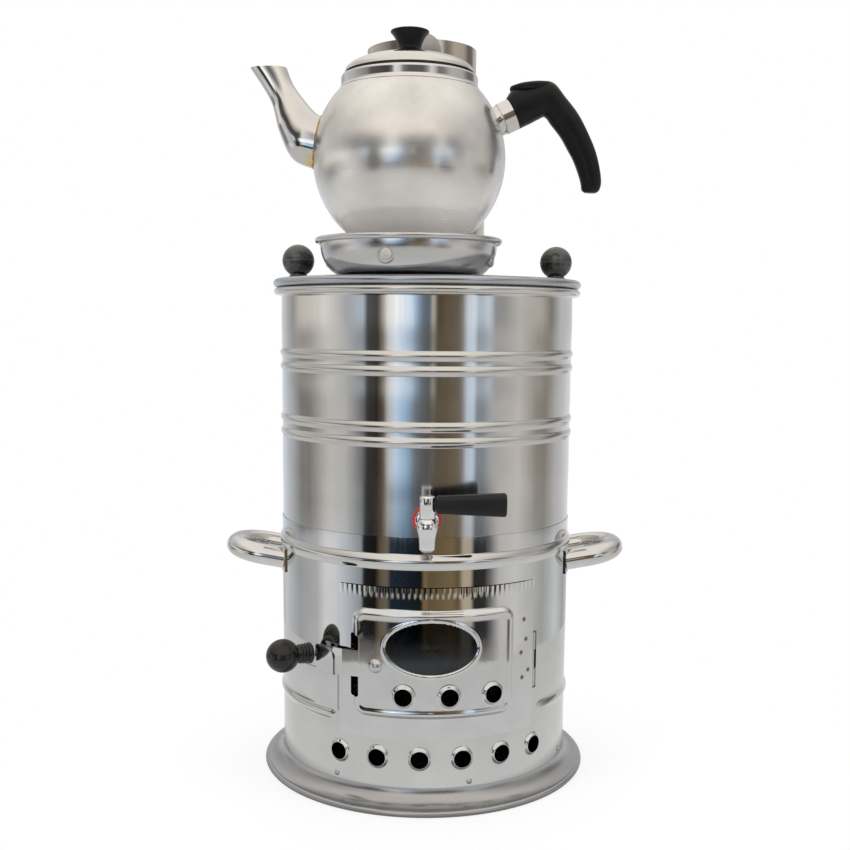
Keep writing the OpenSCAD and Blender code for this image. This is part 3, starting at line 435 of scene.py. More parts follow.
# ---------------------------------------------------------------- tank
# The water tank: a satin stainless shell with four pressed beads and a rolled rim,
# closed below by a dished disc and crossed by the flue tube.
TANK_R = 135.0
TANK_BEADS, TANK_BEAD_HEIGHT, TANK_BEAD_RISE = (319.5, 332.5, 379, 391.5), 8, 1.6
RIM_R, RIM_AT, RIM_Z = 3.3, 138.9, 446.7
tank_satin = bare_metal("tank_satin", (0.62, 0.61, 0.59), (0.09, 0.13), grain=(520, 520, 9), grain_cut=0.12,
                        dents=(11, 11, 6), dent_cut=0.15, cloud=(0.9, 1.05), cloud_size=12, brushed=0.9)
TANK_FIELDS, TANK_FIELD_RISE = ((290, 50), (355.75, 37), (418.5, 45)), 0.2
heights = np.sort(np.concatenate([[226.0, 240, 252], *[np.linspace(b - 4.6, b + 4.6, 15) for b in TANK_BEADS],
                                  *[np.linspace(m - h / 2, m + h / 2, 13) for m, h in TANK_FIELDS], [442.5]]))
wall = TANK_R + sum(bead(heights, b, TANK_BEAD_HEIGHT, TANK_BEAD_RISE) for b in TANK_BEADS)
wall += sum(TANK_FIELD_RISE * eased(1 - abs(heights - m) / (h / 2)) * h / 40 for m, h in TANK_FIELDS)
outer = np.stack([wall, heights], axis=1)
rim = arc_points(RIM_AT, RIM_Z, RIM_R, -150, 160, 34)
section = joined(outer, (135.6, 444.4), rim, (134.4, 446.2), beside(outer, SHEET)[::-1])
fit(skin("tank_wall", turned(section, turns=320)), tank_satin, "body", "tank_steel", "tank_shell")
dress("tank_bottom", plain_steel)
dress("flue_tube", plain_steel)

# ---------------------------------------------------------------- side handles
# Two carrying handles of polished tube, bent to a flat U that rises outwards, and welded
# to curved foot plates on the shell just under the big bead.
TUBE_R, GRIP_REACH, LEG_Y, GRIP_Z, GRIP_TILT = 9.5, 189.97, 32.0, 201.0, 10 * DEG
chrome_tube = bare_metal("chrome_tube", (0.66, 0.65, 0.64), (0.06, 0.13), grain=(300, 300, 300),
                         grain_cut=0.05, dents=(40, 40, 40), dent_cut=0.12, cloud=(0.94, 1.03), cloud_size=40)


def swept(route, radius, sides=40, up=(0, 0, 1), closed=False):
    """Grid of rings round a route of points, which may close on itself: each ring stands across it."""
    run = np.roll(route, -1, 0) - np.roll(route, 1, 0) if closed else np.gradient(route, axis=0)
    run /= np.linalg.norm(run, axis=1, keepdims=True)
    side = np.cross(run, up)
    side /= np.linalg.norm(side, axis=1, keepdims=True)
    lift = np.cross(side, run)
    a = np.linspace(0, 2 * np.pi, sides, endpoint=False)[None, :, None]
    r = np.broadcast_to(np.asarray(radius, float), len(route))[:, None, None]
    return route[:, None] + r * np.cos(a) * lift[:, None] + r * np.sin(a) * side[:, None]


def capped(grid):
    """The grid with its first and last rings drawn in to their middles, so that the ends are closed."""
    ends = [np.broadcast_to(grid[i].mean(0), grid[i].shape)[None] for i in (0, -1)]
    return np.concatenate([ends[0], grid, ends[1]])


bend = LEG_Y - 2
bar = GRIP_REACH - TUBE_R - FIRE_R
turn = arc_points(bar - bend, LEG_Y - bend, bend, 90, 0, 32)
legs = joined(np.stack([np.linspace(-5, bar - bend, 8)[:-1], np.full(7, LEG_Y)], axis=1), turn)
route = np.concatenate([legs, (legs * (1, -1))[::-1]])
route = np.stack([FIRE_R + route[:, 0] * math.cos(GRIP_TILT), route[:, 1],
                  GRIP_Z + route[:, 0] * math.sin(GRIP_TILT)], axis=1)
for side, node in ((1, "handle_right"), (-1, "handle_left")):
    grid = capped(swept(route * (side, side, 1), TUBE_R))
    fit(skin("tube_" + node, grid, along=False), chrome_tube, "body", "handle_chrome", node)
dress("handle_feet", chrome_tube)

# ---------------------------------------------------------------- tap
# A chromed brass tap: flange and red washer against the tank, an upright body with a
# turning plug, a drain spout below and a black lever to the right. A brass nut holds it inside.
TAP_Y, TAP_Z = 160.0, 255.5
tap_chrome = bare_metal("tap_chrome", (0.78, 0.78, 0.79), (0.05, 0.1), grain=(500, 500, 500), grain_cut=0.04,
                        cloud=(0.95, 1.02), cloud_size=90)
tap_brass = bare_metal("tap_brass", (0.62, 0.46, 0.2), (0.25, 0.4), grain=(700, 700, 700), grain_cut=0.2)


def moulded(name, colour, roughness, mark=0.3, size=900, shine=0.5):
    """Moulded plastic or rubber: one colour a little mottled, with a fine skin."""
    mat = bpy.data.materials.new(name)
    mat.use_nodes = True
    tree = mat.node_tree
    body = tree.nodes["Principled BSDF"]
    body.inputs["Specular IOR Level"].default_value = shine
    place = tree.nodes.new("ShaderNodeTexCoord").outputs["Object"]
    skin_noise = tree.nodes.new("ShaderNodeTexNoise")
    skin_noise.inputs["Scale"].default_value = size
    skin_noise.inputs["Detail"].default_value = 3
    tree.links.new(place, skin_noise.inputs["Vector"])
    blotch = tree.nodes.new("ShaderNodeTexNoise")
    blotch.inputs["Scale"].default_value = 45
    blotch.inputs["Detail"].default_value = 2
    tree.links.new(place, blotch.inputs["Vector"])
    tone = tree.nodes.new("ShaderNodeMix")
    tone.data_type = "RGBA"
    tone.inputs["A"].default_value = (*[c * 0.75 for c in colour], 1)
    tone.inputs["B"].default_value = (*[min(1, c * 1.3) for c in colour], 1)
    tree.links.new(blotch.outputs["Fac"], tone.inputs["Factor"])
    tree.links.new(tone.outputs["Result"], body.inputs["Base Color"])
    rough = tree.nodes.new("ShaderNodeMapRange")
    rough.inputs["To Min"].default_value = max(0.02, roughness - 0.08)
    rough.inputs["To Max"].default_value = roughness + 0.08
    tree.links.new(blotch.outputs["Fac"], rough.inputs["Value"])
    tree.links.new(rough.outputs["Result"], body.inputs["Roughness"])
    bump = tree.nodes.new("ShaderNodeBump")
    bump.inputs["Strength"].default_value = mark
    bump.inputs["Distance"].default_value = 0.0001
    tree.links.new(skin_noise.outputs["Fac"], bump.inputs["Height"])
    tree.links.new(bump.outputs["Normal"], body.inputs["Normal"])
    return mat


lever_black = moulded("lever_black", (0.008, 0.008, 0.008), 0.42, 0.35, 1500, shine=0.3)
washer_red = moulded("washer_red", (0.5, 0.035, 0.03), 0.45, 0.15, 700)


def facing_front(grid):
    """Turns an upright turned grid so that its axis points out of the front, away from the tank."""
    return np.stack([grid[..., 0], -grid[..., 2], grid[..., 1]], axis=-1)


barrel = joined((0, -22.5), (4.4, -22.5), (4.8, -22.3), (6.4, -20.7), (6.6, -20.3), (7.0, -12), (7.5, -9.2),
                (8.5, -5.2), (8.78, -2.4), (8.75, -0.6), (8.2, 2.4), (7.3, 4.1), (6.9, 4.6),
                (0, 4.6)) + (0, TAP_Z)
tap_body = skin("tap_barrel", turned(barrel, (0, -TAP_Y), 64), along=False, crease=50)
neck = joined((0, 124), (6.2, 124), (6.2, 138.2), (9.4, 138.2), (9.85, 138.7), (9.85, 140.6), (9.4, 141.1),
              (6.6, 141.2), (6.2, 142), (6.2, TAP_Y - 3), (0, TAP_Y - 3))
flange = skin("tap_flange", facing_front(turned(neck, turns=64) + (0, TAP_Z, 0)), along=False, crease=50)
fit(tap_body, tap_chrome, "body", "tap_chrome", "tap_body")
fit(flange, tap_chrome, "body", "tap_chrome", "tap_body")
ring = joined((6.7, 135.1), (12, 135.1), (12.3, 135.5), (12.3, 137.7), (12, 138.1), (6.7, 138.1))
washer = skin("tap_washer", facing_front(turned(ring, turns=64) + (0, TAP_Z, 0)), crease=50)
fit(washer, washer_red, "body", "red_silicone", "tap_gasket")
dress("tap_nut", tap_brass)
plug = joined((0, -7.7), (5, -7.7), (5, 4.9), (6.1, 4.9), (6.5, 5.3), (6.5, 21.6), (6.42, 22.4), (5.9, 23.4),
              (5.2, 23.8), (0, 23.8)) + (0, TAP_Z)
fit(skin("tap_cap", turned(plug, (0, -TAP_Y), 64), along=False, crease=50), tap_chrome, "tap", "tap_chrome",
    "tap_plug")


def boxy(a, power):
    """Cosine or sine values pressed towards a rounded square as power falls from 1."""
    return np.sign(a) * abs(a) ** power


LEVER_Z = TAP_Z + 16.5
stations = np.array([(8.6, 3.6, 3.6, 0.9), (9.0, 4.6, 4.6, 0.9), (9.2, 6.2, 5.6, 0.75), (9.8, 7.0, 6.1, 0.62),
                     (11, 7.35, 6.35, 0.58), (30, 8.2, 6.7, 0.56), (50, 9.1, 7.0, 0.56),
                     (63.6, 9.6, 7.15, 0.56), (65.0, 9.6, 7.1, 0.58), (66.0, 9.2, 6.7, 0.62),
                     (66.6, 8.3, 5.9, 0.7), (66.8, 6.5, 4.5, 0.8)])
a = np.linspace(0, 2 * np.pi, 48, endpoint=False)
tall, deep, power = (stations[:, k:k + 1] for k in (1, 2, 3))
z = tall * boxy(np.cos(a), power)
lever_grid = np.stack([stations[:, :1] - 1.9 + 0 * a, -TAP_Y + deep * boxy(np.sin(a), power) + 0 * z,
                       LEVER_Z + z], axis=-1)
lever = skin("lever_grip", capped(lever_grid), along=False, crease=60)
stem = swept(np.array([(x, -TAP_Y, LEVER_Z) for x in (4.5, 7, 9)], float), 4.2)
fit(lever, lever_black, "tap", "lever_black", "tap_lever")
fit(skin("lever_stem", capped(stem), along=False), lever_black, "tap", "lever_black", "tap_lever")

# ---------------------------------------------------------------- door
# The fire door: bright curved sheet with crimped top and bottom edges, a pressed panel with an
# oval ridge, three drawn air vents and the slot that the latch strap comes out of.
DOOR_R = 136.55
DOOR_A1, DOOR_A2, DOOR_Z1, DOOR_Z2 = -33.1, 44.24, 63.0, 196.3
PANEL_A, PANEL_Z, PANEL_W, PANEL_H, PANEL_C, PANEL_UP = 3.3, 129.2, 71.3, 48.0, 12.0, 3.0
DOOR_VENTS, DOOR_VENT_Z = (-7.8, 8.4, 24.6), 102.0
SLOT_A1, SLOT_A2, SLOT_Z1, SLOT_Z2, SLOT_C = -28.3, -24.5, 98.0, 152.2, 2.6
SLOT_BLOCK = (-29.9, -22.9, 94, 158)
SLOT_SLANT, SLANT_END = 2.4, 157
OVAL_X, OVAL_Z, OVAL_A, OVAL_B = -3.0, 15.2, 41.3, 24.8
FIELD_A, FIELD_B = 40.1, 23.6
CRIMP_STEP, CRIMP_TOP, CRIMP_LOW = 4.9, 185, 75
half = 5.28
edges = [v + side * half for v in DOOR_VENTS for side in (-1, 1)]
us = ruled(DOOR_A1, (10, SLOT_BLOCK[0]), (22, SLOT_BLOCK[1]), *zip((29, 32, 17, 32, 17, 32), edges),
           (43, DOOR_A2))
vs = ruled(DOOR_Z1, (9, 77), (17, DOOR_VENT_Z - VENT_BLOCK), (1, 91), (1, 92.4), (1, SLOT_BLOCK[2]),
           (17, DOOR_VENT_Z + VENT_BLOCK), (46, SLOT_BLOCK[3]), (10, 170), (18, 180), (14, DOOR_Z2))
scale = (DOOR_R + PANEL_UP) * DEG
holes = [((v - half, v + half, DOOR_VENT_Z - VENT_BLOCK, DOOR_VENT_Z + VENT_BLOCK), (v, DOOR_VENT_Z), (0, 0),
          scale, VENT_RINGS) for v in DOOR_VENTS]
slot_mid = ((SLOT_A1 + SLOT_A2) / 2, (SLOT_Z1 + SLOT_Z2) / 2)
core = ((SLOT_A2 - SLOT_A1) / 2 * scale - SLOT_C, (SLOT_Z2 - SLOT_Z1) / 2 - SLOT_C)
holes.append((SLOT_BLOCK, slot_mid, core, scale, (SLOT_C + 1.6, SLOT_C + 0.9, SLOT_C + 0.4, SLOT_C)))
flat, quads = pierced(us, vs, holes)
# the slot's top end slopes up to the left
near_slot = (abs(flat[:, 0] - slot_mid[0]) < 3.4) & (flat[:, 1] > 148) & (flat[:, 1] < SLANT_END)
across = np.clip((SLOT_A2 - flat[:, 0]) / (SLOT_A2 - SLOT_A1), 0, 1)
flat[:, 1] += np.where(near_slot, SLOT_SLANT * across * eased((SLANT_END - flat[:, 1]) / 3), 0)
x = scale / DEG * np.sin((flat[:, 0] - PANEL_A) * DEG)
z = flat[:, 1] - PANEL_Z
out = np.hypot(np.maximum(abs(x) - PANEL_W + PANEL_C, 0), np.maximum(abs(z) - PANEL_H + PANEL_C, 0)) - PANEL_C
out = out + np.minimum(np.maximum(abs(x) - PANEL_W + PANEL_C, abs(z) - PANEL_H + PANEL_C), 0)
panel = eased(-out / 4.2)
rise = PANEL_UP * panel + 0.5 * np.exp(-((out + 5.2) / 2.2) ** 2)
ox, oz = x - OVAL_X, z - OVAL_Z
reach = np.hypot(ox / OVAL_A, oz / OVAL_B)
steep = np.hypot(ox * OVAL_B / OVAL_A ** 2, oz / OVAL_B + 1e-6)
oval = (reach - 1) * OVAL_B * reach / steep.clip(0.05)
rise += 0.75 * np.exp(-(oval / 0.95) ** 2) - 0.35 * eased(-(oval + 0.6) / 1.4)
for v in DOOR_VENTS:
    distance = np.hypot((flat[:, 0] - v) * scale, flat[:, 1] - DOOR_VENT_Z)
    rise += lip(distance, VENT_R, LIP_RISE, LIP_FOOT)
crimp = 0.5 + 0.5 * np.cos(2 * np.pi * flat[:, 0] * scale / CRIMP_STEP)
rise += 0.26 * crimp * eased((flat[:, 1] - CRIMP_TOP) / 9)
rise += 0.2 * crimp * eased((CRIMP_LOW - flat[:, 1]) / 5)
WELDS = ((39.1, 162.3), (40.3, 144.2), (37.9, 132.9), (41.7, 115.7), (38.6, 110.1))
WELD_BROWN = (0.2, 0.11, 0.05)
burns = [(WELD_BROWN, (137 * math.sin(a * DEG), -137 * math.cos(a * DEG), z), 1.3, 1.4) for a, z in WELDS]
door_bright = bare_metal("door_bright", (0.64, 0.64, 0.635), (0.03, 0.06), grain=(300, 300, 300),
                         grain_cut=0.05, dents=(34, 34, 26), dent_cut=0.1, cloud=(0.94, 1.02), cloud_size=40,
                         marks=burns)
door_leaf = shell_mesh("door_leaf", on_round(flat, DOOR_R + rise), quads, 60)
fit(thickened(door_leaf, SHEET, 60), door_bright, "door", "door_steel", "door_plate")
# The oval field is near black: a painted dark reflection, on a thin sheet just under the panel's face.
oval_painted_reflection = bare_metal("oval_painted_reflection", (0.05, 0.055, 0.06), (0.05, 0.1), grain=(300, 300, 300), grain_cut=0.05,
                        cloud=(0.8, 1.2), cloud_size=60)
a = np.linspace(0, 2 * np.pi, 96, endpoint=False)
# out over its face, and back behind it
spokes = np.concatenate([np.linspace(0, 1, 10), np.linspace(1, 0, 10)])[:, None]
field = np.stack([PANEL_A + (OVAL_X + FIELD_A * spokes * np.sin(a)) / scale,
                  PANEL_Z + OVAL_Z + FIELD_B * spokes * np.cos(a)], axis=-1)
depth = DOOR_R + PANEL_UP - 0.3 + np.where(np.arange(20) < 10, 0.2 * (1 - spokes[:, 0] ** 2), -0.2)
field = on_round(field.reshape(-1, 2), np.repeat(depth, len(a))).reshape(*field.shape[:2], 3)
fit(skin("door_oval_field", field, along=False), oval_painted_reflection, "door", "door_steel", "door_plate")
for node in ("hinge_leaf_fixed", "hinge_leaf_door", "hinge_pin"):
    dress(node, screw_steel)

# ---------------------------------------------------------------- latch
# A bent bright strap on a rivet through the door. It comes out of the slot, lies behind the
# open-topped catch on the shell, and is lifted by a black ball handle screwed on its end.
LATCH_A, LATCH_Z = -18.1, 127.4
KNOB_TURN, KNOB_RISE, STUD_R = 49, 4, 2.5
for node in ("latch_strap", "latch_catch"):
    dress(node, door_bright)
dress("latch_rivet", screw_steel)
dress("latch_stud", screw_steel)
ball_black = moulded("ball_black", (0.005, 0.005, 0.005), 0.2, 0.1, 300, shine=0.45)
KNOB_R, KNOB_NECK = 14.6, 17.0
ball_at = KNOB_NECK + 0.75 * KNOB_R - 1
ball = arc_points(0, ball_at, KNOB_R, -57.5, 90, 40)
ribs = joined((0, 0.3), (7.2, 0.3), (7.6, 0.6), (8.9, 1.6), (9.35, 2.6), (9.4, 3.8), (9.0, 4.6), (8.5, 5.0),
              (8.7, 5.5), (9.2, 6.3), (8.9, 7.1), (8.2, 7.7), (8.4, 8.2), (8.8, 8.9), (8.6, 9.8), (8.0, 10.4),
              (8.2, 10.9), (8.6, 11.6), (8.4, 12.6), (7.8, 13.3), (7.8, 15.5))


def along_axis(grid, foot, direction):
    """Lays an upright turned grid along a level direction from a foot point."""
    ahead = np.array([direction[0], direction[1], 0.0])
    aside = np.array([-direction[1], direction[0], 0.0])
    up = np.array([0, 0, 1.0])
    return foot + grid[..., :1] * aside + grid[..., 1:2] * up + grid[..., 2:] * ahead


box_high = np.array(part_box("latch_stud")[1]) * 1000
knob_az = (LATCH_A - KNOB_TURN) * DEG
ahead = np.array([math.sin(knob_az), -math.cos(knob_az)])
tip = np.array([box_high[0] - STUD_R * abs(ahead[1]), box_high[1] - STUD_R * abs(ahead[0]),
                LATCH_Z + KNOB_RISE])
knob = skin("latch_ball", along_axis(turned(joined(ribs, ball), turns=72), tip, ahead), along=False,
            crease=50)
fit(knob, ball_black, "latch", "ball_black", "latch_knob")

# ---------------------------------------------------------------- tank lid
# The loose lid: a flat satin disc with a rolled edge and a skirt that drops inside the tank,
# cut out for the flue and for steam. Two black balls on short collars lift it.
LID_TOP = 458.1
LID_SHEET, LID_ROLL = 1, (138.5, 454.2, 3.9)
FLUE_AT, POT_AT = (-6, 77), (-17, -70)
FLUE_HOLE_R, STEAM_HOLE_R = 55, 20
lid_satin = bare_metal("lid_satin", (0.45, 0.47, 0.5), (0.18, 0.28), grain=(900, 2.5, 900), grain_cut=0.35,
                       around_axis=(0, 0), dents=(8, 8, 8), dent_cut=0.2, cloud=(0.92, 1.04), cloud_size=9)
edge = arc_points(*LID_ROLL, 90, -200, 40)
lid_path = joined((0, LID_TOP), (40, LID_TOP), (80, LID_TOP), (110, LID_TOP), (137.8, LID_TOP), edge,
                  (133.4, LID_TOP - LID_SHEET), (133.2, 447.2), (132.4, 447.1), (132.4, LID_TOP - LID_SHEET),
                  (80, LID_TOP - LID_SHEET), (40, LID_TOP - LID_SHEET), (0, LID_TOP - LID_SHEET))
lid = skin("lid_disc", turned(lid_path[::-1], turns=320), along=False)


def drill(radius, low, high, at=(0, 0), turns=160):
    """Grid for a solid upright cylinder."""
    return turned(joined((0, low), (radius, low), (radius, high), (0, high)), at, turns)


def cut(piece, cutter):
    """Cuts the closed shape of a grid out of a piece and keeps the result in its mesh."""
    tool = skin("tool", cutter, along=False)
    hole = piece.modifiers.new("hole", "BOOLEAN")
    hole.object = tool
    hole.solver = "EXACT"
    settled(piece, 38)
    bpy.data.objects.remove(tool)


cut(lid, drill(FLUE_HOLE_R, 440, 470, FLUE_AT))
cut(lid, drill(STEAM_HOLE_R, 440, 470, POT_AT))
fit(lid, lid_satin, "lid", "lid_steel", "tank_lid")
dress("lid_knob_screws", screw_steel)
lid_ball_black = moulded("lid_ball_black", (0.01, 0.01, 0.01), 0.26, 0.02, 300, shine=0.9)
lid_ball_black.node_tree.nodes["Principled BSDF"].inputs["IOR"].default_value = 1.6
BALL_R, BALL_X, BALL_Z = 14.8, 120, LID_TOP + 17.4
mould_line = (BALL_R + 0.3, BALL_Z)
ball = joined(arc_points(0, BALL_Z, BALL_R, -52, -2, 16), mould_line,
              arc_points(0, BALL_Z, BALL_R, 2, 90, 26))
stem = joined((0, LID_TOP), (8.6, LID_TOP), (9, LID_TOP + 0.5), (9, LID_TOP + 2.6), (8.5, LID_TOP + 3.4),
              (7.9, LID_TOP + 4.2), (8.0, LID_TOP + 5.2))
for side, name in ((-1, "left"), (1, "right")):
    grid = turned(joined(stem, ball), (side * BALL_X, 0), 72)
    fit(skin("lid_ball_" + name, grid, along=False, crease=50), lid_ball_black, "lid", "ball_black",
        "lid_knobs")

# ---------------------------------------------------------------- chimney
# A wide collar welded to the lid narrows to a socket, and the chimney pipe stands in it.
# Both are rolled from thin stainless that has warmed a little in colour.
COLLAR_TOP = 552.1
COLLAR_SHEET = 0.8
PIPE_R, PIPE_TOP = 53.0, 681.0
PIPE_BEAD = (555.4, 6, 2.4)
chimney_warm = bare_metal("chimney_warm", (0.66, 0.58, 0.5), (0.1, 0.15), grain=(500, 500, 9), grain_cut=0.12,
                          dents=(30, 30, 9), dent_cut=0.12, cloud=(0.9, 1.05), cloud_size=14, brushed=0.5)
collar = joined((63, LID_TOP), (63, 480), (63, 505), (63, 527), (62.8, 529.2), (62.2, 530.9), (61, 532.1),
                (56.6, 537.7), (55.4, 539.6), (54.75, 541), (54.6, 542.4), (54.6, COLLAR_TOP))
section = joined(collar, beside(collar, COLLAR_SHEET)[::-1])
fit(skin("chimney_socket", turned(section, FLUE_AT, 192)), chimney_warm, "lid", "chimney_steel",
    "chimney_collar")
heights = np.concatenate([[528.1, 540, 550], np.linspace(552.2, 558.6, 15),
                          [575, 600, 625, 650, 672, PIPE_TOP]])
pipe = np.stack([PIPE_R + bead(heights, *PIPE_BEAD), heights], axis=1)
section = joined(pipe, beside(pipe, SHEET)[::-1])
fit(skin("chimney_tube", turned(section, FLUE_AT, 192)), chimney_warm, "chimney", "chimney_steel",
    "chimney_pipe")
disc = joined((0, 0), (15.6, 0), (15.98, 0.25), (15.98, 0.75), (15.6, 1), (0, 1))
tab = facing_front(turned(disc, turns=72)) + (FLUE_AT[0] + 1.5, FLUE_AT[1] - PIPE_R, PIPE_TOP - 11)
fit(skin("chimney_lug", tab, along=False), plain_steel, "chimney", "chimney_steel", "chimney_tab")

# ---------------------------------------------------------------- teapot stand
# A pressed dish that stands over the steam hole. Its rolled rim flares out, its raised middle
# carries the teapot, and four flanged holes in its side let steam out.
STAND_R, STAND_TOP, SEAT_Z = 81.1, LID_TOP + 33, 485.2
LINING_SHEET = 0.4
EYELET_A, EYELET_Z, EYELET_HOLE_R = -14.5, LID_TOP + 15.6, 6.2
stand_satin = bare_metal("stand_satin", (0.6, 0.6, 0.595), (0.16, 0.24), grain=(700, 3, 700), grain_cut=0.1,
                         around_axis=POT_AT, dents=(20, 20, 20), dent_cut=0.15, cloud=(0.9, 1.06),
                         cloud_size=20)
# The dish's inside is near white: painted light that lifts it out of the shade under the teapot.
stand_painted_light = bare_metal("stand_painted_light", (0.95, 0.93, 0.92), (0.35, 0.45), grain=(700, 3, 700), grain_cut=0.2,
                        around_axis=POT_AT, cloud=(0.95, 1.03), cloud_size=20, pure=0.5)
side_path = joined((STAND_R - 3.6, STAND_TOP - 4.2), arc_points(54.6, LID_TOP + 28, (22, 28), 0, -87, 30),
                   (54.9, LID_TOP), (53.8, LID_TOP + 0.3), (52.6, LID_TOP + 1.6), (51.6, LID_TOP + 3.2),
                   (49.6, LID_TOP + 6.4), (48.6, 472), (47.9, 480), (47.4, 482.8), (46.6, 484.4),
                   (45.4, SEAT_Z), (34, SEAT_Z), (23, SEAT_Z))
rim = arc_points(STAND_R - 2.5, STAND_TOP - 2.5, 2.5, 200, -100, 30)
path = joined(rim, side_path)
section = joined(path, beside(side_path, -LINING_SHEET)[::-1])
dish = skin("stand_dish", turned(section[::-1], POT_AT, 256))
# the inside sheet, which carries that painted light
section = joined(beside(side_path, -LINING_SHEET), beside(side_path, -2 * LINING_SHEET)[::-1])
painted_light_lining = skin("stand_inside", turned(section[::-1], POT_AT, 256))
flange = joined((5.1, 71.4), (5.1, 73.9), (5.4, 74.5), (5.9, 74.6), (6.5, 74.2), (7.1, 73.4), (7.5, 72.6),
                (7.5, 71.4))
middle = np.array([*POT_AT, EYELET_Z])
for quarter in range(4):
    eyelet_az = (90 * quarter + EYELET_A) * DEG
    out = (math.sin(eyelet_az), -math.cos(eyelet_az))
    for sheet in (dish, painted_light_lining):
        cut(sheet, along_axis(drill(EYELET_HOLE_R, 58, 90, turns=48), middle, out))
    ring = skin("stand_eyelet_%d" % (quarter + 1), along_axis(turned(flange, turns=48), middle, out),
                crease=60)
    fit(ring, stand_satin, "stand", "stand_steel", "teapot_stand")
fit(dish, stand_satin, "stand", "stand_steel", "teapot_stand")
fit(painted_light_lining, stand_painted_light, "stand", "stand_steel", "teapot_stand")

# ---------------------------------------------------------------- teapot
# A spun ball body of polished stainless with a flat seat, a welded neck ring, a curved
# hollow spout with a gold heat stain at its weld, and a ferrule for the grip.
POT_R, POT_Z, POT_FLOOR, NECK_R, NECK_TOP = 82.6, 557.9, 486.0, 58.3, 626.5
POT_SHEET = 0.8
# Its strong colour clouds, darker and lighter patches, are painted reflection.
pot_polish = bare_metal("pot_polish", (0.72, 0.7, 0.675), (0.18, 0.25), grain=(500, 2, 500), grain_cut=0.04,
                        around_axis=POT_AT, dents=(16, 16, 16), dent_cut=0.6, cloud=(0.8, 1.03),
                        cloud_size=20, pure=0.85, worn=(504, 542, 0.2, 0.12))
neck_polish = bare_metal("neck_polish", (0.7, 0.69, 0.675), (0.05, 0.09), grain=(500, 2, 500), grain_cut=0.04,
                         around_axis=POT_AT, cloud=(0.95, 1.02), cloud_size=18)
heat_stain = ((0.66, 0.5, 0.22), (POT_AT[0] - 80, POT_AT[1] - 10, POT_Z - 5), 4, 9)
spout_polish = bare_metal("spout_polish", (0.66, 0.65, 0.635), (0.05, 0.09), grain=(400, 400, 400),
                          grain_cut=0.04, dents=(30, 30, 30), dent_cut=0.1, cloud=(0.93, 1.03), cloud_size=40,
                          marks=[heat_stain])
low = math.degrees(math.asin((POT_FLOOR - POT_Z) / POT_R))
high = math.degrees(math.acos(NECK_R / POT_R))
ball = arc_points(0, POT_Z, POT_R, low, high, 72)
inside = arc_points(0, POT_Z, POT_R - POT_SHEET, high, low + 0.4, 60)
floor_inside = POT_FLOOR + POT_SHEET
section = joined((0, POT_FLOOR), (20, POT_FLOOR), (38, POT_FLOOR), ball, inside, (36, floor_inside),
                 (20, floor_inside), (0, floor_inside))
pot_ball = skin("pot_ball", turned(section, POT_AT, 256), along=False)
fit(pot_ball, pot_polish, "teapot", "teapot_steel", "teapot_body")
neck_z = POT_Z + math.sqrt(POT_R ** 2 - NECK_R ** 2)
outside = joined((NECK_R + 1.5, neck_z - 1), (NECK_R + 0.6, neck_z + 0.1), (NECK_R + 0.15, neck_z + 1),
                 (NECK_R, neck_z + 2.2), (NECK_R, neck_z + 2.6), (NECK_R, NECK_TOP - 2.8),
                 (NECK_R, NECK_TOP - 2.4), arc_points(NECK_R - 2.4, NECK_TOP - 2.4, 2.4, 0, 90, 10),
                 (NECK_R - 4.8, NECK_TOP))
section = joined(outside, beside(outside, POT_SHEET)[::-1])
fit(skin("pot_neck", turned(section, POT_AT, 256)), neck_polish, "teapot", "teapot_steel", "teapot_neck")


def eased_rows(rows, steps):
    """Rows of numbers with steps more between each pair, on a smooth curve through them (Catmull-Rom)."""
    rows = np.array(rows, float)
    t = np.arange((len(rows) - 1) * steps + 1) / steps
    k = np.minimum(t.astype(int), len(rows) - 2)
    t = (t - k)[:, None]
    a, b = rows[np.maximum(k - 1, 0)], rows[k]
    c, d = rows[k + 1], rows[np.minimum(k + 2, len(rows) - 1)]
    return 0.5 * (2 * b + (c - a) * t + (2 * a - 5 * b + 4 * c - d) * t ** 2
                  + (3 * b - a - 3 * c + d) * t ** 3)


def lofted(rows, sides, power=1.0, shrink=0.0):
    """Grid of loops in the teapot's middle plane. A row is (x, z, half vector x, half vector z, half
    depth)."""
    a = np.linspace(0, 2 * np.pi, sides, endpoint=False)
    size = np.hypot(rows[:, 2], rows[:, 3])[:, None]
    c = boxy(np.cos(a), power)[None] * (size - shrink) / size
    s = boxy(np.sin(a), power)[None] * (rows[:, 4:5] - shrink)
    return np.stack([POT_AT[0] + rows[:, :1] + c * rows[:, 2:3], POT_AT[1] + s + 0 * c,
                     rows[:, 1:2] + c * rows[:, 3:4]], axis=-1)


def onto_ball(loop, r):
    """The loop's points moved level along x until they lie on the teapot's ball."""
    y, z = loop[:, 1] - POT_AT[1], loop[:, 2] - POT_Z
    return np.stack([POT_AT[0] - np.sqrt(r * r - y * y - z * z), loop[:, 1], loop[:, 2]], axis=1)


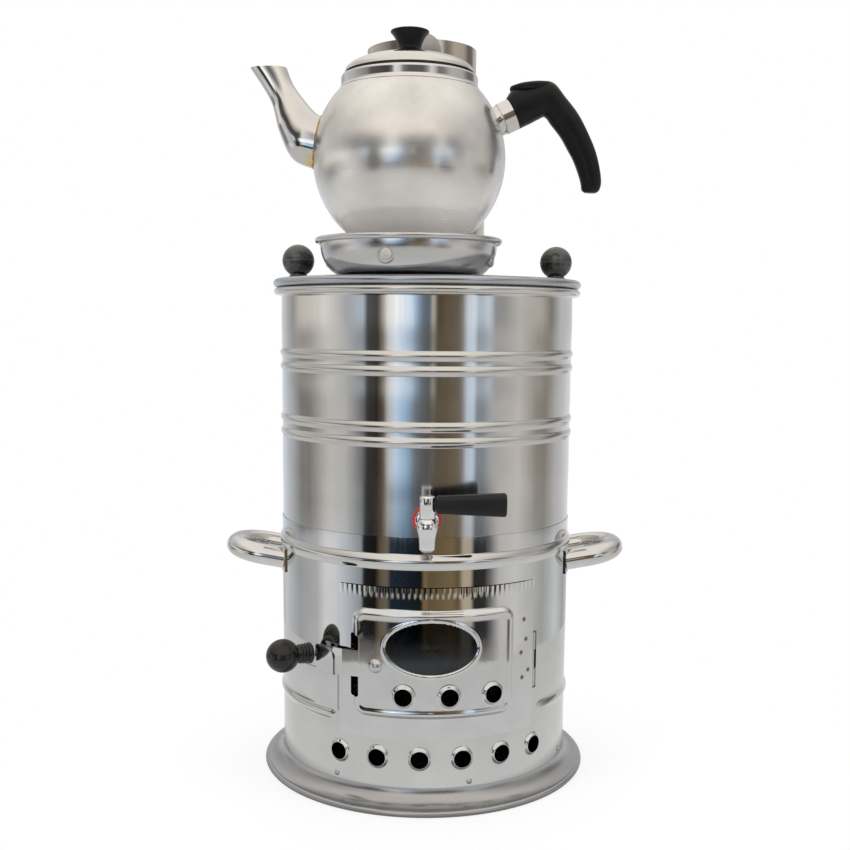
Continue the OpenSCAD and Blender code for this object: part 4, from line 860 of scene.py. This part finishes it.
spout_rows = eased_rows([(-79.5, 571.4, 3.3, 21.75, 20), (-91, 577.5, 9.5, 19.6, 18.5),
                         (-100.2, 592.8, 11, 13, 14.5), (-108.5, 612, 9.8, 6.6, 11.3),
                         (-120, 632.6, 15.3, 0.3, 10.4)], 12)
outside = lofted(spout_rows, 56, 0.82)
inside = lofted(spout_rows, 56, 0.82, 0.9)
outside[0] = onto_ball(outside[0], POT_R - 0.1)
inside[0] = onto_ball(inside[0], POT_R - 0.1)
spout = skin("pot_spout", np.concatenate([outside, inside[::-1]]))
fit(spout, spout_polish, "teapot", "spout_steel", "teapot_spout")
weld_gold = bare_metal("weld_gold", (0.55, 0.36, 0.14), (0.2, 0.35), grain=(900, 900, 900), grain_cut=0.3,
                       cloud=(0.6, 1.3), cloud_size=120)
weld = skin("spout_weld", swept(onto_ball(outside[0], POT_R + 0.25), 0.7, 10, (1, 0, 0), closed=True))
fit(weld, weld_gold, "teapot", "spout_steel", "teapot_spout")
FERRULE_AT, FERRULE_TURN, FERRULE_L = (76.3, 590.8), 25.8 * DEG, 13.7


def on_ferrule(grid):
    """Lays an upright turned grid along the ferrule, out of the teapot and upwards."""
    ahead = np.array([math.cos(FERRULE_TURN), 0, math.sin(FERRULE_TURN)])
    up = np.array([-math.sin(FERRULE_TURN), 0, math.cos(FERRULE_TURN)])
    foot = np.array([POT_AT[0] + FERRULE_AT[0], POT_AT[1], FERRULE_AT[1]])
    return foot + grid[..., :1] * np.array([0, 1, 0]) + grid[..., 1:2] * up + grid[..., 2:] * ahead


tube = joined((11.9, -6), (12.6, -6), (12.6, 0), (12.6, 2.6), (12.75, 3.0), (13.2, 3.2), (13.5, 3.6),
              (13.5, 8), (13.5, FERRULE_L), (11.9, FERRULE_L), (11.9, 4))
fit(skin("grip_ferrule", on_ferrule(turned(tube, turns=72)), crease=30), spout_polish, "teapot",
    "spout_steel", "handle_ferrule")
dress("handle_stud", screw_steel)

# ---------------------------------------------------------------- teapot grip
# A satin black bakelite grip on the ferrule: a round root, a thumb rest on top and a
# curved handle that thins to its rounded end, with a soft ridge down each side.
grip_black = moulded("grip_black", (0.006, 0.006, 0.006), 0.34, 0.3, 1200, shine=0.2)
grip_rows = eased_rows([(88.9, 597.3, -6.3, 12.2, 12.8), (93.8, 602, -5.8, 14.8, 13.2),
                        (102, 605, -2.6, 15.4, 12.8), (111.6, 608.6, 0.4, 15.6, 12.2),
                        (119.6, 608.6, 3.4, 14, 11.6), (127.6, 599.4, 5.6, 11.8, 11),
                        (137.2, 587.6, 7.5, 9.5, 10.6), (145, 574, 9.3, 5.9, 10.2),
                        (150.9, 562, 9.8, 3.2, 9.8), (155, 549.4, 9.5, 1.3, 9.4), (157, 539.7, 8.8, 0.1, 8.8),
                        (156.7, 533.8, 7.6, -0.2, 7.4), (156.5, 531.6, 5, -0.2, 5)], 6)
grip = skin("grip", capped(lofted(grip_rows, 56, 0.85)), along=False, crease=70)
fit(grip, grip_black, "teapot", "grip_black", "teapot_handle")
REST_X, REST_Z, REST_LEAN = 103.8, 619.8, 6 * DEG
disc = joined((0, -3.2), (9, -3.2), (11.8, -2.6), (12.8, -1.4), (13, 0), (12.4, 1.2), (9, 2.2), (0, 2.6))
disc = turned(disc, turns=72) * (1.42, 0.98, 1.3)
lean_cos, lean_sin = math.cos(REST_LEAN), math.sin(REST_LEAN)
rest = np.stack([POT_AT[0] + REST_X + disc[..., 0] * lean_cos - disc[..., 2] * lean_sin,
                 POT_AT[1] + disc[..., 1], REST_Z + disc[..., 0] * lean_sin + disc[..., 2] * lean_cos],
                axis=-1)
fit(skin("thumb_rest", rest, along=False, crease=60), grip_black, "teapot", "grip_black", "teapot_handle")

# ---------------------------------------------------------------- teapot lid
# A domed polished lid with a turned-down edge and an inner skirt that centres it in the neck.
# A flared black knob is held on it by a screw from below.
LID_SEAT, COVER_R, DOME = 626.8, 55.4, 17.0
cover_polish = bare_metal("cover_polish", (0.68, 0.665, 0.64), (0.1, 0.16), grain=(500, 2, 500),
                          grain_cut=0.08, around_axis=POT_AT, cloud=(0.95, 1.02), cloud_size=18)
# The skirt is near black: painted shade, so that the gap under the lid's edge reads as a dark line.
skirt_painted_shade = bare_metal("skirt_painted_shade", (0.1, 0.095, 0.09), (0.4, 0.5), grain=(500, 2, 500), around_axis=POT_AT)
dome = arc_points(0, LID_SEAT + 2.6, (COVER_R - 0.4, DOME - 1.4), 0, 87.6, 48)
top = joined((COVER_R - 0.9, LID_SEAT + 1.9), (COVER_R - 0.1, LID_SEAT + 1.9),
             (COVER_R + 0.1, LID_SEAT + 2.1), (COVER_R + 0.1, LID_SEAT + 2.4), dome[1:])
section = joined(top, beside(dome[2:], POT_SHEET)[::-1])
fit(skin("pot_cover", turned(section, POT_AT, 256)), cover_polish, "teapot_cover", "teapot_steel",
    "teapot_lid")
# the skirt ring, in that painted shade
section = joined((53.4, LID_SEAT + 2.2), (53.4, LID_SEAT - 7.3), (52.7, LID_SEAT - 7.3),
                 (52.7, LID_SEAT + 2.2))
fit(skin("cover_skirt", turned(section, POT_AT, 192)), skirt_painted_shade, "teapot_cover", "teapot_steel",
    "teapot_lid")
foot = LID_SEAT + DOME + 1.2
knob = joined((0, 0), (12.4, 0), (13, 0.35), (13.2, 0.9), (12.9, 1.6), (11.6, 2.8), (10.5, 3.8), (10, 5.2),
              (10, 6.6), (10.6, 8.8), (12, 12), (13.6, 14.8), (15.4, 17), (16.3, 17.9), (16.5, 18.5),
              (16.2, 19.1), (15.4, 19.4), (10, 19.35), (0, 19.3)) + (0, foot)
fit(skin("cover_knob", turned(knob, POT_AT, 96), along=False, crease=60), grip_black, "teapot_cover",
    "grip_black", "lid_handle")
dress("lid_handle_screw", screw_steel)

# ---------------------------------------------------------------- table
# A small pale table disc under the samovar. The metal sees it glowing and a little darker near the
# foot, a painted shadow there, and it takes only a faint soft shadow.
table = skin("table_top", turned(joined((0, 0), (300, 0), (560, 0)), turns=96) - (0, 0, 0.2), along=False)
pale = bpy.data.materials.new("pale_table")
pale.use_nodes = True
tree = pale.node_tree
add, link = tree.nodes.new, tree.links.new
matt = tree.nodes["Principled BSDF"]
matt.inputs["Base Color"].default_value = (0.9, 0.9, 0.9, 1)
matt.inputs["Roughness"].default_value = 0.9
matt.inputs["Specular IOR Level"].default_value = 0.0


def ranged(tree, value, low, high, out_low, out_high):
    """Node that maps low..high to out_low..out_high and holds the ends."""
    band = tree.nodes.new("ShaderNodeMapRange")
    for key, number in zip(("From Min", "From Max", "To Min", "To Max"), (low, high, out_low, out_high)):
        band.inputs[key].default_value = number
    tree.links.new(value, band.inputs["Value"])
    return band.outputs["Result"]


def mixed(tree, factor, a, b):
    """Node that mixes two colours, each a socket or a grey value or a colour."""
    blend = tree.nodes.new("ShaderNodeMix")
    blend.data_type = "RGBA"
    tree.links.new(factor, blend.inputs["Factor"])
    for key, value in (("A", a), ("B", b)):
        if isinstance(value, bpy.types.NodeSocket):
            tree.links.new(value, blend.inputs[key])
        elif isinstance(value, tuple):
            blend.inputs[key].default_value = (*value, 1)
        else:
            blend.inputs[key].default_value = (value, value, value, 1)
    return blend.outputs["Result"]


reach = add("ShaderNodeVectorMath")
reach.operation = "LENGTH"
link(add("ShaderNodeTexCoord").outputs["Object"], reach.inputs[0])
rays = add("ShaderNodeLightPath")
mirrored = ranged(tree, reach.outputs["Value"], 0.2, 0.5, 0.8, 0.7)
# painted shadow: the glow that the metal sees is darkened near the foot
mirrored = mixed(tree, ranged(tree, reach.outputs["Value"], 0.153, 0.185, 0, 1), 0.35, mirrored)
glow = add("ShaderNodeEmission")
link(mixed(tree, rays.outputs["Is Glossy Ray"], 1.0, mirrored), glow.inputs["Color"])
share = add("ShaderNodeMath")
share.operation = "MAXIMUM"
link(rays.outputs["Is Glossy Ray"], share.inputs[0])
link(ranged(tree, reach.outputs["Value"], 0.16, 0.4, 0.75, 1.0), share.inputs[1])
direct = add("ShaderNodeMath")
direct.operation = "MULTIPLY"
seen_or_mirrored = add("ShaderNodeMath")
seen_or_mirrored.operation = "MAXIMUM"
link(rays.outputs["Is Camera Ray"], seen_or_mirrored.inputs[0])
link(rays.outputs["Is Glossy Ray"], seen_or_mirrored.inputs[1])
link(share.outputs[0], direct.inputs[0])
link(seen_or_mirrored.outputs[0], direct.inputs[1])
surface = add("ShaderNodeMixShader")
link(direct.outputs[0], surface.inputs["Fac"])
link(matt.outputs[0], surface.inputs[1])
link(glow.outputs[0], surface.inputs[2])
link(surface.outputs[0], tree.nodes["Material Output"].inputs["Surface"])
table.data.materials.append(pale)

# ---------------------------------------------------------------- room and lamps
# A pale studio. In front hang dark drapes with gaps between them, in four rows: above eye
# height, at it, a little lower, and down to the floor, which is grey. The ceiling is warm white.
# Each row is a list of (degrees from the front, brightness, warmth).
EYE_DRAPES = [(-180, 0.85, -0.2), (-150, 0.7, -0.2), (-128, 0.43, 0.1), (-117, 0.76, 0.6), (-85, 1.08, 0.4),
              (-64, 0.63, -0.4), (-50, 0.88, -1.6), (-46.5, 0.14, -0.8), (-38, 0.09, 1.2), (-34.5, 0.5, 0.6),
              (-30, 1.35, 0), (-23, 1.6, 0), (-16, 1.4, -0.8), (-12, 1.35, -1.9), (-8, 0.76, -3),
              (-3.5, 0.28, -2.2), (1.5, 0.2, -3), (4.5, 0.8, 1), (7.5, 0.05, 3.4), (14, 0.11, 4.5),
              (23, 0.14, 1.6), (26.5, 0.3, 0.8), (30, 1.0, -0.8), (36, 1.15, -1.2), (39.5, 0.8, -1.3),
              (48, 1.05, -1.4), (53, 0.4, -0.6), (60, 0.4, 0), (75, 0.68, 0.2), (98, 0.6, 0.7),
              (112, 0.26, 0.4), (128, 0.7, -0.1)]
MIDDLE_DRAPES = [(-180, 0.88, -0.3), (-150, 0.78, -0.6), (-129, 0.54, -0.4), (-115, 0.25, 0),
                 (-103, 0.25, 0.4), (-80, 0.76, 0.3), (-66, 0.74, 0), (-50, 0.2, -0.4), (-46.5, 0.05, 0),
                 (-38, 0.02, 4), (-33, 0.09, 3), (-29.5, 0.72, 0), (-24, 1.0, -2.4), (-16, 0.66, -4),
                 (-9, 0.22, -1), (0, 0.12, 0), (14, 0.13, 3), (24, 0.19, 2), (27.5, 0.3, 0.4),
                 (31, 0.88, -1.8), (36, 0.92, -1.7), (38.5, 0.33, -1.3), (44, 0.36, -1), (52, 0.62, 0),
                 (76, 0.72, 0.4), (96, 0.32, 0.9), (106, 0.3, 0.9), (122, 0.64, 0), (145, 0.84, -0.3)]
LOW_DRAPES = [(-180, 0.5, 0.5), (-158, 0.6, 0.2), (-147, 0.75, -0.8), (-132, 0.6, 0), (-118, 0.5, -0.4),
              (-95, 0.62, 0), (-85, 0.95, 0), (-75, 0.92, -0.3), (-64, 0.72, -0.5), (-51, 0.4, -0.8),
              (-49, 0.02, -1), (-39, 0.01, 2), (-35, 0.13, 3), (-30, 0.18, 1.5), (-27, 0.03, -4),
              (-3, 0.01, -2), (-1, 0.2, 4.5), (3, 0.12, 4), (20, 0.18, 4), (26, 0.11, 3.4), (29, 0.5, 2),
              (35, 0.5, 1.8), (37.5, 0.03, 0), (47, 0.04, 0), (52, 0.24, 0.2), (59, 0.68, 0.2),
              (74, 0.8, 0.1), (106, 0.52, 0), (127, 0.8, -0.3), (147, 0.45, 0), (157, 0.6, 0)]
HIGH_DRAPES = [(-180, 0.6, 0), (-147, 0.5, 0), (-135, 0.7, 0), (-110, 0.58, 0.2), (-88, 0.4, 0.3),
               (-76, 0.3, 0.3), (-66, 0.12, 0.3), (-36, 0.07, 0.5), (-29, 0.2, 0.5), (-24, 1.0, 0),
               (-17, 0.85, 0), (-10, 0.25, 0), (0, 0.13, 0), (22, 0.13, 0.5), (30, 0.35, 0), (36, 0.85, 0),
               (41, 0.7, 0), (50, 0.2, 0.3), (60, 0.28, 0.3), (72, 0.55, 0.4), (98, 0.5, 0.4),
               (114, 0.18, 0.3), (130, 0.2, 0.2), (141, 0.6, 0)]
CEILING = [(-180, 0.95, 0), (-150, 0.8, 0.2), (-110, 0.6, 0.4), (-70, 0.7, 0.6), (-30, 1.1, 0.8),
           (30, 1.1, 0.8), (60, 0.7, 0.6), (90, 0.5, 0.4), (130, 0.6, 0.2)]
ZENITH = (1.1, 1.05, 0.98)
FLOOR_GREY = (0.69, 0.675, 0.65)

studio = bpy.data.worlds.new("studio")
bpy.context.scene.world = studio
studio.use_nodes = True
tree = studio.node_tree
tree.nodes.clear()
split = tree.nodes.new("ShaderNodeSeparateXYZ")
tree.links.new(tree.nodes.new("ShaderNodeTexCoord").outputs["Generated"], split.inputs[0])
ahead = tree.nodes.new("ShaderNodeMath")
ahead.operation = "MULTIPLY"
ahead.inputs[1].default_value = -1
tree.links.new(split.outputs["Y"], ahead.inputs[0])
turn = tree.nodes.new("ShaderNodeMath")
turn.operation = "ARCTAN2"
tree.links.new(split.outputs["X"], turn.inputs[0])
tree.links.new(ahead.outputs[0], turn.inputs[1])
round_room = ranged(tree, turn.outputs[0], -math.pi, math.pi, 0, 1)


def row_of(drapes):
    """Colour ramp round the room from a row of (degrees, brightness, warmth)."""
    ramp = tree.nodes.new("ShaderNodeValToRGB")
    tree.links.new(round_room, ramp.inputs["Fac"])
    while len(ramp.color_ramp.elements) < len(drapes):
        ramp.color_ramp.elements.new(0.5)
    for stop, (angle, value, warmth) in zip(ramp.color_ramp.elements, drapes):
        stop.position = (angle + 180) / 360
        stop.color = (value * (1 + 0.1 * warmth), value, value * (1 - 0.12 * warmth), 1)
    return ramp.outputs["Color"]


height = split.outputs["Z"]
room = row_of(LOW_DRAPES)
for low, high, row in ((-0.184, -0.175, MIDDLE_DRAPES), (-0.035, -0.008, EYE_DRAPES),
                       (0.1, 0.14, HIGH_DRAPES), (0.27, 0.42, CEILING)):
    room = mixed(tree, ranged(tree, height, low, high, 0, 1), room, row_of(row))
room = mixed(tree, ranged(tree, height, 0.5, 0.8, 0, 1), room, ZENITH)
room = mixed(tree, ranged(tree, height, -0.318, -0.27, 1, 0), room, FLOOR_GREY)
rays = tree.nodes.new("ShaderNodeLightPath")
room = mixed(tree, rays.outputs["Is Glossy Ray"], 0.85, room)
room = mixed(tree, rays.outputs["Is Camera Ray"], room, 1.0)
sky = tree.nodes.new("ShaderNodeBackground")
tree.links.new(room, sky.inputs["Color"])
tree.links.new(sky.outputs[0], tree.nodes.new("ShaderNodeOutputWorld").inputs["Surface"])


def softbox(name, at, size, power, aim_at=(0, 0, 0.3)):
    """A square lamp of that size in metres at a point, turned towards another point."""
    lamp = bpy.data.lights.new(name, "AREA")
    lamp.size = size
    lamp.energy = power
    piece = bpy.data.objects.new(name, lamp)
    piece.location = at
    away = np.array(at) - np.array(aim_at)
    piece.rotation_euler = (math.atan2(math.hypot(away[0], away[1]), away[2]), 0,
                            math.atan2(away[0], -away[1]))
    piece.visible_glossy = False
    bpy.context.scene.collection.objects.link(piece)


softbox("lamp_left", (-1.6, -1.3, 1.5), 0.9, 14)
softbox("lamp_right", (1.7, -0.9, 1.3), 0.9, 10)
softbox("lamp_top", (0.0, 0.2, 2.0), 1.2, 12)

# ---------------------------------------------------------------- camera
# At standing height in front of the tap, a little to its left and looking slightly down.
# Lengths in the picture are in pixels, angles in degrees, and the eye's place in metres.
PICTURE, FOCAL, MIDDLE_X, MIDDLE_Y = 850, 1128.8, 425.6, 473.8
EYE_AWAY, EYE_HIGH = 1.0688, 0.4166
BEARING, DOWN, ROLL = -0.6, 7.48, 0.46
camera = bpy.data.cameras.new("camera")
camera.sensor_width = 36
camera.lens = 36 * FOCAL / PICTURE
camera.shift_x = -(MIDDLE_X - PICTURE / 2) / PICTURE
camera.shift_y = (MIDDLE_Y - PICTURE / 2) / PICTURE
eye = bpy.data.objects.new("camera", camera)
bearing = BEARING * DEG
spot = Matrix.Translation((EYE_AWAY * math.sin(bearing), -EYE_AWAY * math.cos(bearing), EYE_HIGH))
eye.matrix_world = (spot @ Matrix.Rotation(bearing, 4, "Z") @ Matrix.Rotation((90 - DOWN) * DEG, 4, "X")
                    @ Matrix.Rotation(ROLL * DEG, 4, "Z"))
bpy.context.scene.collection.objects.link(eye)
bpy.context.scene.camera = eye
bpy.context.scene.view_settings.view_transform = "Standard"
